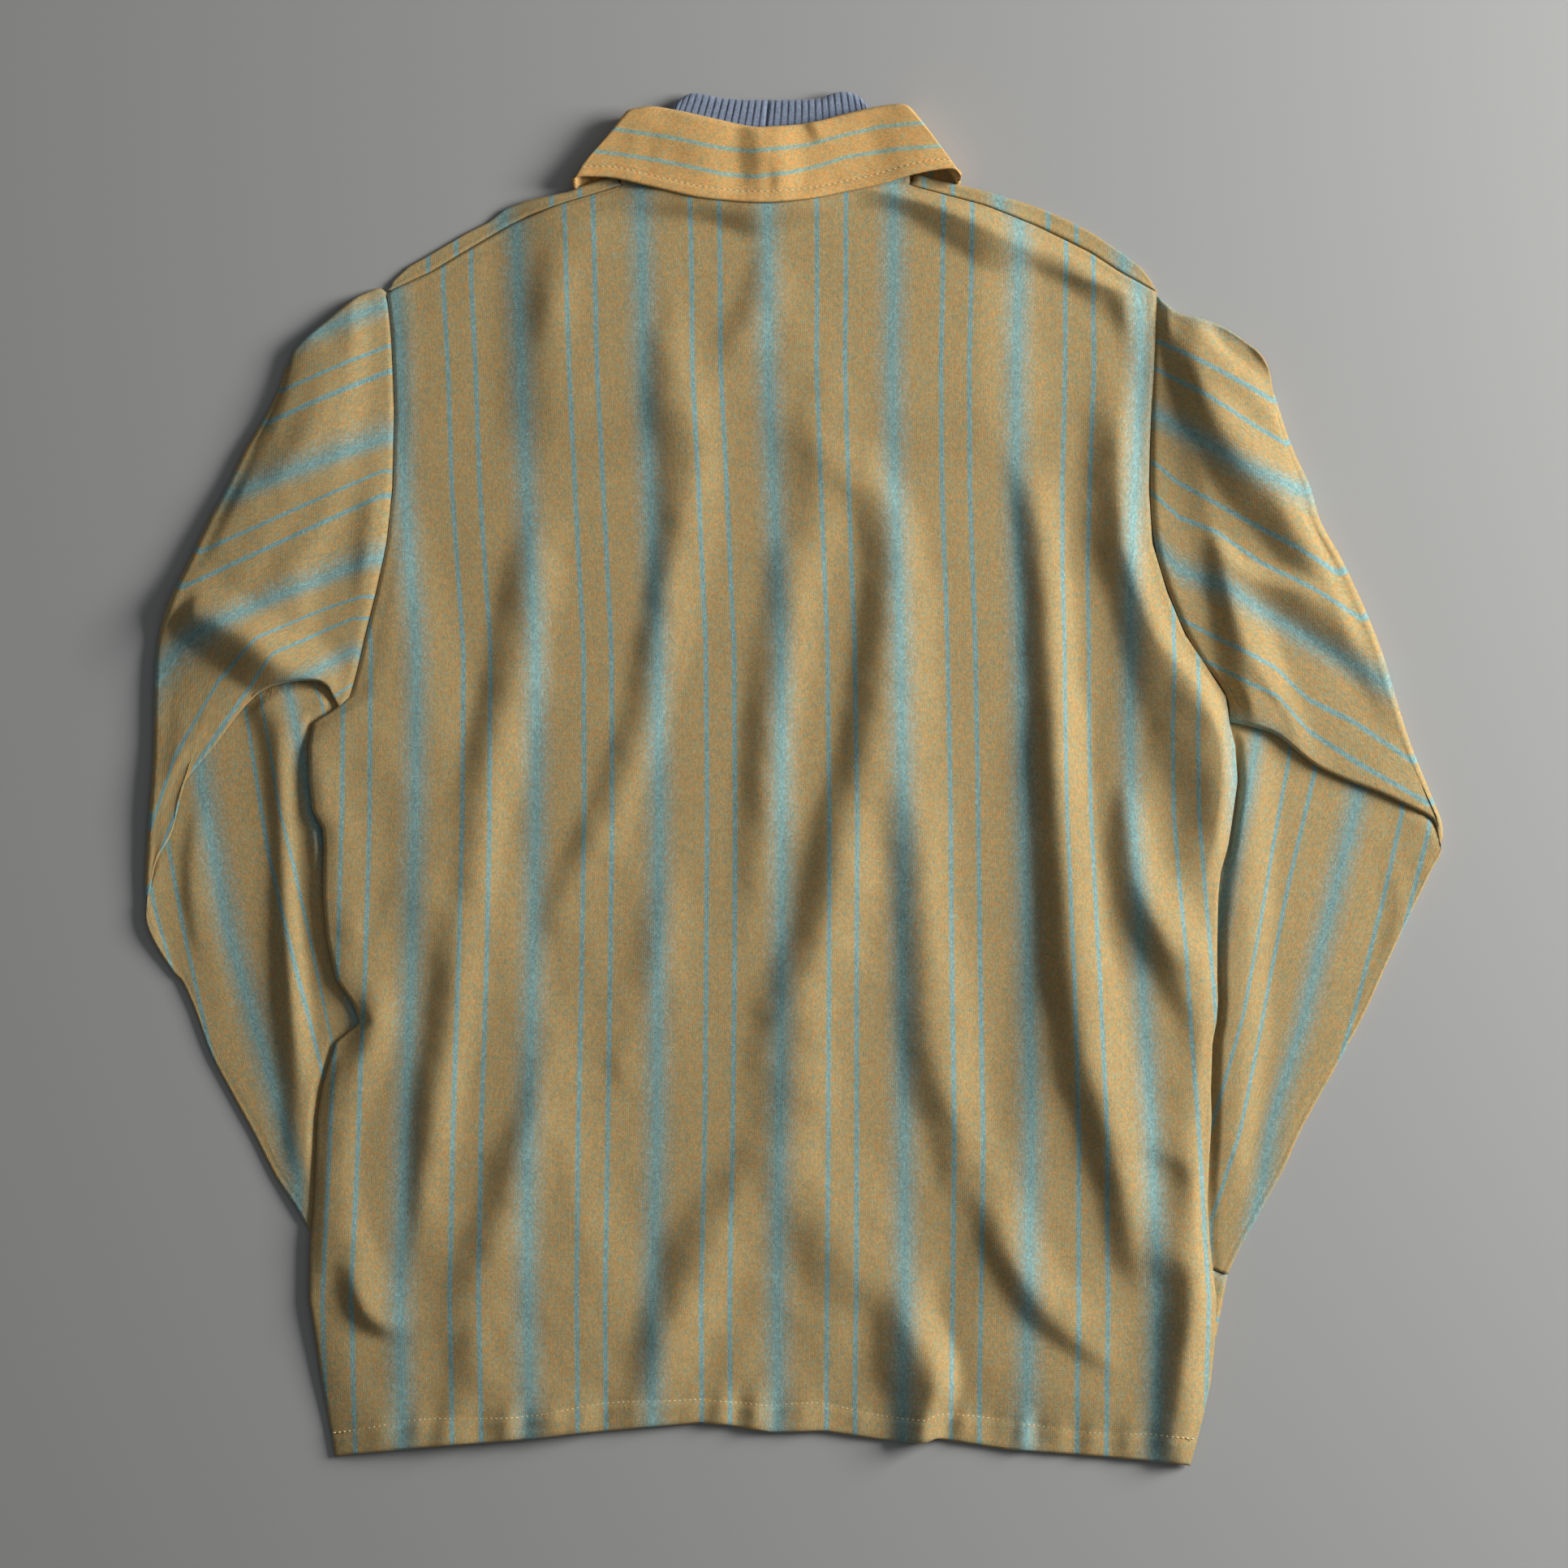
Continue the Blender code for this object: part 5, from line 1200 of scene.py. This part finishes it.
def make_rib():
    """The band round the neck: its ribs run from the top edge to the seam."""
    n_back, down = 301, 25
    top, seam = outline(RIB_TOP, n_back), outline(RIB_SEAM, n_back)
    v = np.linspace(0, 1, down)
    x = top[:, :1] + (seam[:, :1] - top[:, :1]) * v[None]
    y = top[:, 1:] + (seam[:, 1:] - top[:, 1:]) * v[None]
    run = np.concatenate([[0], np.cumsum(np.hypot(*np.diff(top, axis=0).T))])
    middle = float(np.interp(947, top[:, 0], run))
    turn = (run - middle) / RIB_PITCH
    crest = np.abs(np.cos(np.pi * (turn + 0.5)))                # rounded ribs, narrow valleys
    z = 7.3 + 0.95 * (crest[:, None] ** 0.6) + 0.5 * np.sin(np.pi * v)[None]
    joint = np.exp(-((turn) / 0.5) ** 2)[:, None]
    z = z - 0.7 * joint
    roll = np.sqrt(np.clip(1 - (1 - np.clip(v * 100 / 5, 0, 1)) ** 2, 0, 1))[None]
    z = 6.2 + (z - 6.2) * roll
    z = np.minimum(z, 8.15) - 3.0 * smooth(1 - np.minimum(np.arange(n_back), np.arange(n_back)[::-1]) / 22.0)[:, None]
    rows = [world(x[i], y[i], z[i]) for i in range(n_back)]
    runs = list(run)
    # round the front, on the floor side, to close the ring
    front_top = outline([(1077, 142), (1052, 185), (1020, 235), (985, 262), (943, 268), (901, 262), (866, 235), (838, 185), (822, 138)], 121)
    front_seam = outline([(1116, 236), (1091, 276), (1066, 331), (1032, 383), (943, 392), (854, 383), (820, 331), (795, 276), (770, 236)], 121)
    for k in range(121):
        q = front_top[k] + (front_seam[k] - front_top[k]) * v[:, None]
        level = 2.6 + 1.4 * float(smooth(1 - min(k, 120 - k) / 10.0))
        rows.append(world(q[:, 0], q[:, 1], np.full(down, level)))
        runs.append(runs[-1] + 4.4)
    grid = np.stack(rows).transpose(1, 0, 2)                    # rows down the band, columns round the ring
    if grid.shape[1] % 2:
        grid, runs = grid[:, :-1], runs[:-1]
    uv = np.stack([np.repeat((np.array(runs)[None] - middle) * UNIT, down, 0), np.repeat(v[:, None] * 100 * UNIT, grid.shape[1], 1)], -1)
    n = normals_of(grid, True)
    up = n[down // 2, n_back // 2, 2]
    deep = grid.copy()
    thick = np.where(np.arange(grid.shape[1]) < n_back, -1.5, 1.3)[None, :] * MM
    deep[..., 2] += thick
    made = shell("cloth_neck_rib", grid, uv, rib_material(), wrap=True, step=2, deep=deep, flip=bool(up < 0))
    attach(made, "root")
    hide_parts("neck_rib")


# --------------------------------------------------------------------- stitches
def make_stitches(name, lines, colour, length=4.6, gap=1.7, thick=0.34, lift=0.1):
    """Rows of short thread loops along lines of (x, y, z), joined in one mesh."""
    verts, faces = [], []
    sides, rings = 6, ((-0.5, 0.25, -0.55), (-0.36, 0.85, -0.1), (0.0, 1.0, 0.12), (0.36, 0.85, -0.1), (0.5, 0.25, -0.55))
    for points in lines:
        p = along(points, step=1.2)
        run = np.arange(len(p)) * 1.2
        at = np.arange(length / 2, run[-1], length + gap)
        for s in at:
            c = np.array([np.interp(s, run, p[:, k]) for k in range(3)])
            a = np.array([np.interp(s - length / 2, run, p[:, k]) for k in range(3)])
            b = np.array([np.interp(s + length / 2, run, p[:, k]) for k in range(3)])
            a, b, c = (world(*q) for q in (a, b, c))
            d = (b - a) / np.linalg.norm(b - a)
            side = np.cross(d, (0, 0, 1))
            side /= np.linalg.norm(side)
            up = np.cross(side, d)
            first = len(verts)
            for place, wide, rise in rings:
                centre = c + d * (place * length * UNIT) + up * ((rise * thick + lift) * MM)
                for k in range(sides):
                    w = 2 * math.pi * k / sides
                    verts.append(centre + side * (math.cos(w) * thick * wide * MM) + up * (math.sin(w) * thick * 0.8 * wide * MM))
            for r in range(len(rings) - 1):
                for k in range(sides):
                    faces.append((first + (r + 1) * sides + k, first + (r + 1) * sides + (k + 1) % sides,
                                  first + r * sides + (k + 1) % sides, first + r * sides + k))
            faces.append(tuple(first + k for k in range(sides)))
            faces.append(tuple(first + (len(rings) - 1) * sides + k for k in range(sides))[::-1])
    g = Graph(name)
    twist = g.node("ShaderNodeTexNoise", Scale=900.0, Detail=2.0)
    g.tree.links.new(g.mix(twist, colour, tuple(c * 0.72 for c in colour[:3]) + (1.0,)), g.shader.inputs["Base Color"])
    g.shader.inputs["Roughness"].default_value = 0.7
    g.shader.inputs["Specular IOR Level"].default_value = 0.3
    made = make_mesh(name, np.array(verts), faces, np.zeros((len(verts), 2)), g.material)
    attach(made, "root")
    return made


THREAD = linear(224, 200, 152)


def make_seams(collar_row):
    """Stitching of the hem and of the collar's edge."""
    x = np.linspace(409, 1474, 150)
    y = np.array([station(HEM, 0, a, 1) for a in x]) - 33 - 3 * np.sin(x / 37.0)
    z = back_height(x, y, np.full(len(x), 20.0) + 0 * x)
    make_stitches("hem_stitches", [list(zip(x, y, z))], THREAD, thick=0.5, lift=0.22)
    make_stitches("collar_stitches", [collar_row], THREAD, length=5.4, gap=2.2, lift=0.08)


make_camera()
make_stage()
make_back()
make_front()
make_sleeves()
CUFF_RIGHT = cuff_rows((1296.6, 1500.2, 1513.6, 1572.2), (1279, 1573, 1500, 1645), (1262, 1645, 1480, 1716))
CUFF_LEFT = cuff_rows((664.4, 1530.9, 462.5, 1637.9), (692, 1595, 496, 1699), (720, 1659, 530, 1760))
make_cuff("cloth_cuff_right", "cuff_right", CUFF_RIGHT)
make_cuff("cloth_cuff_left", "cuff_left", CUFF_LEFT)
COLLAR_ROW = make_collar()
make_rib()
make_seams(COLLAR_ROW)
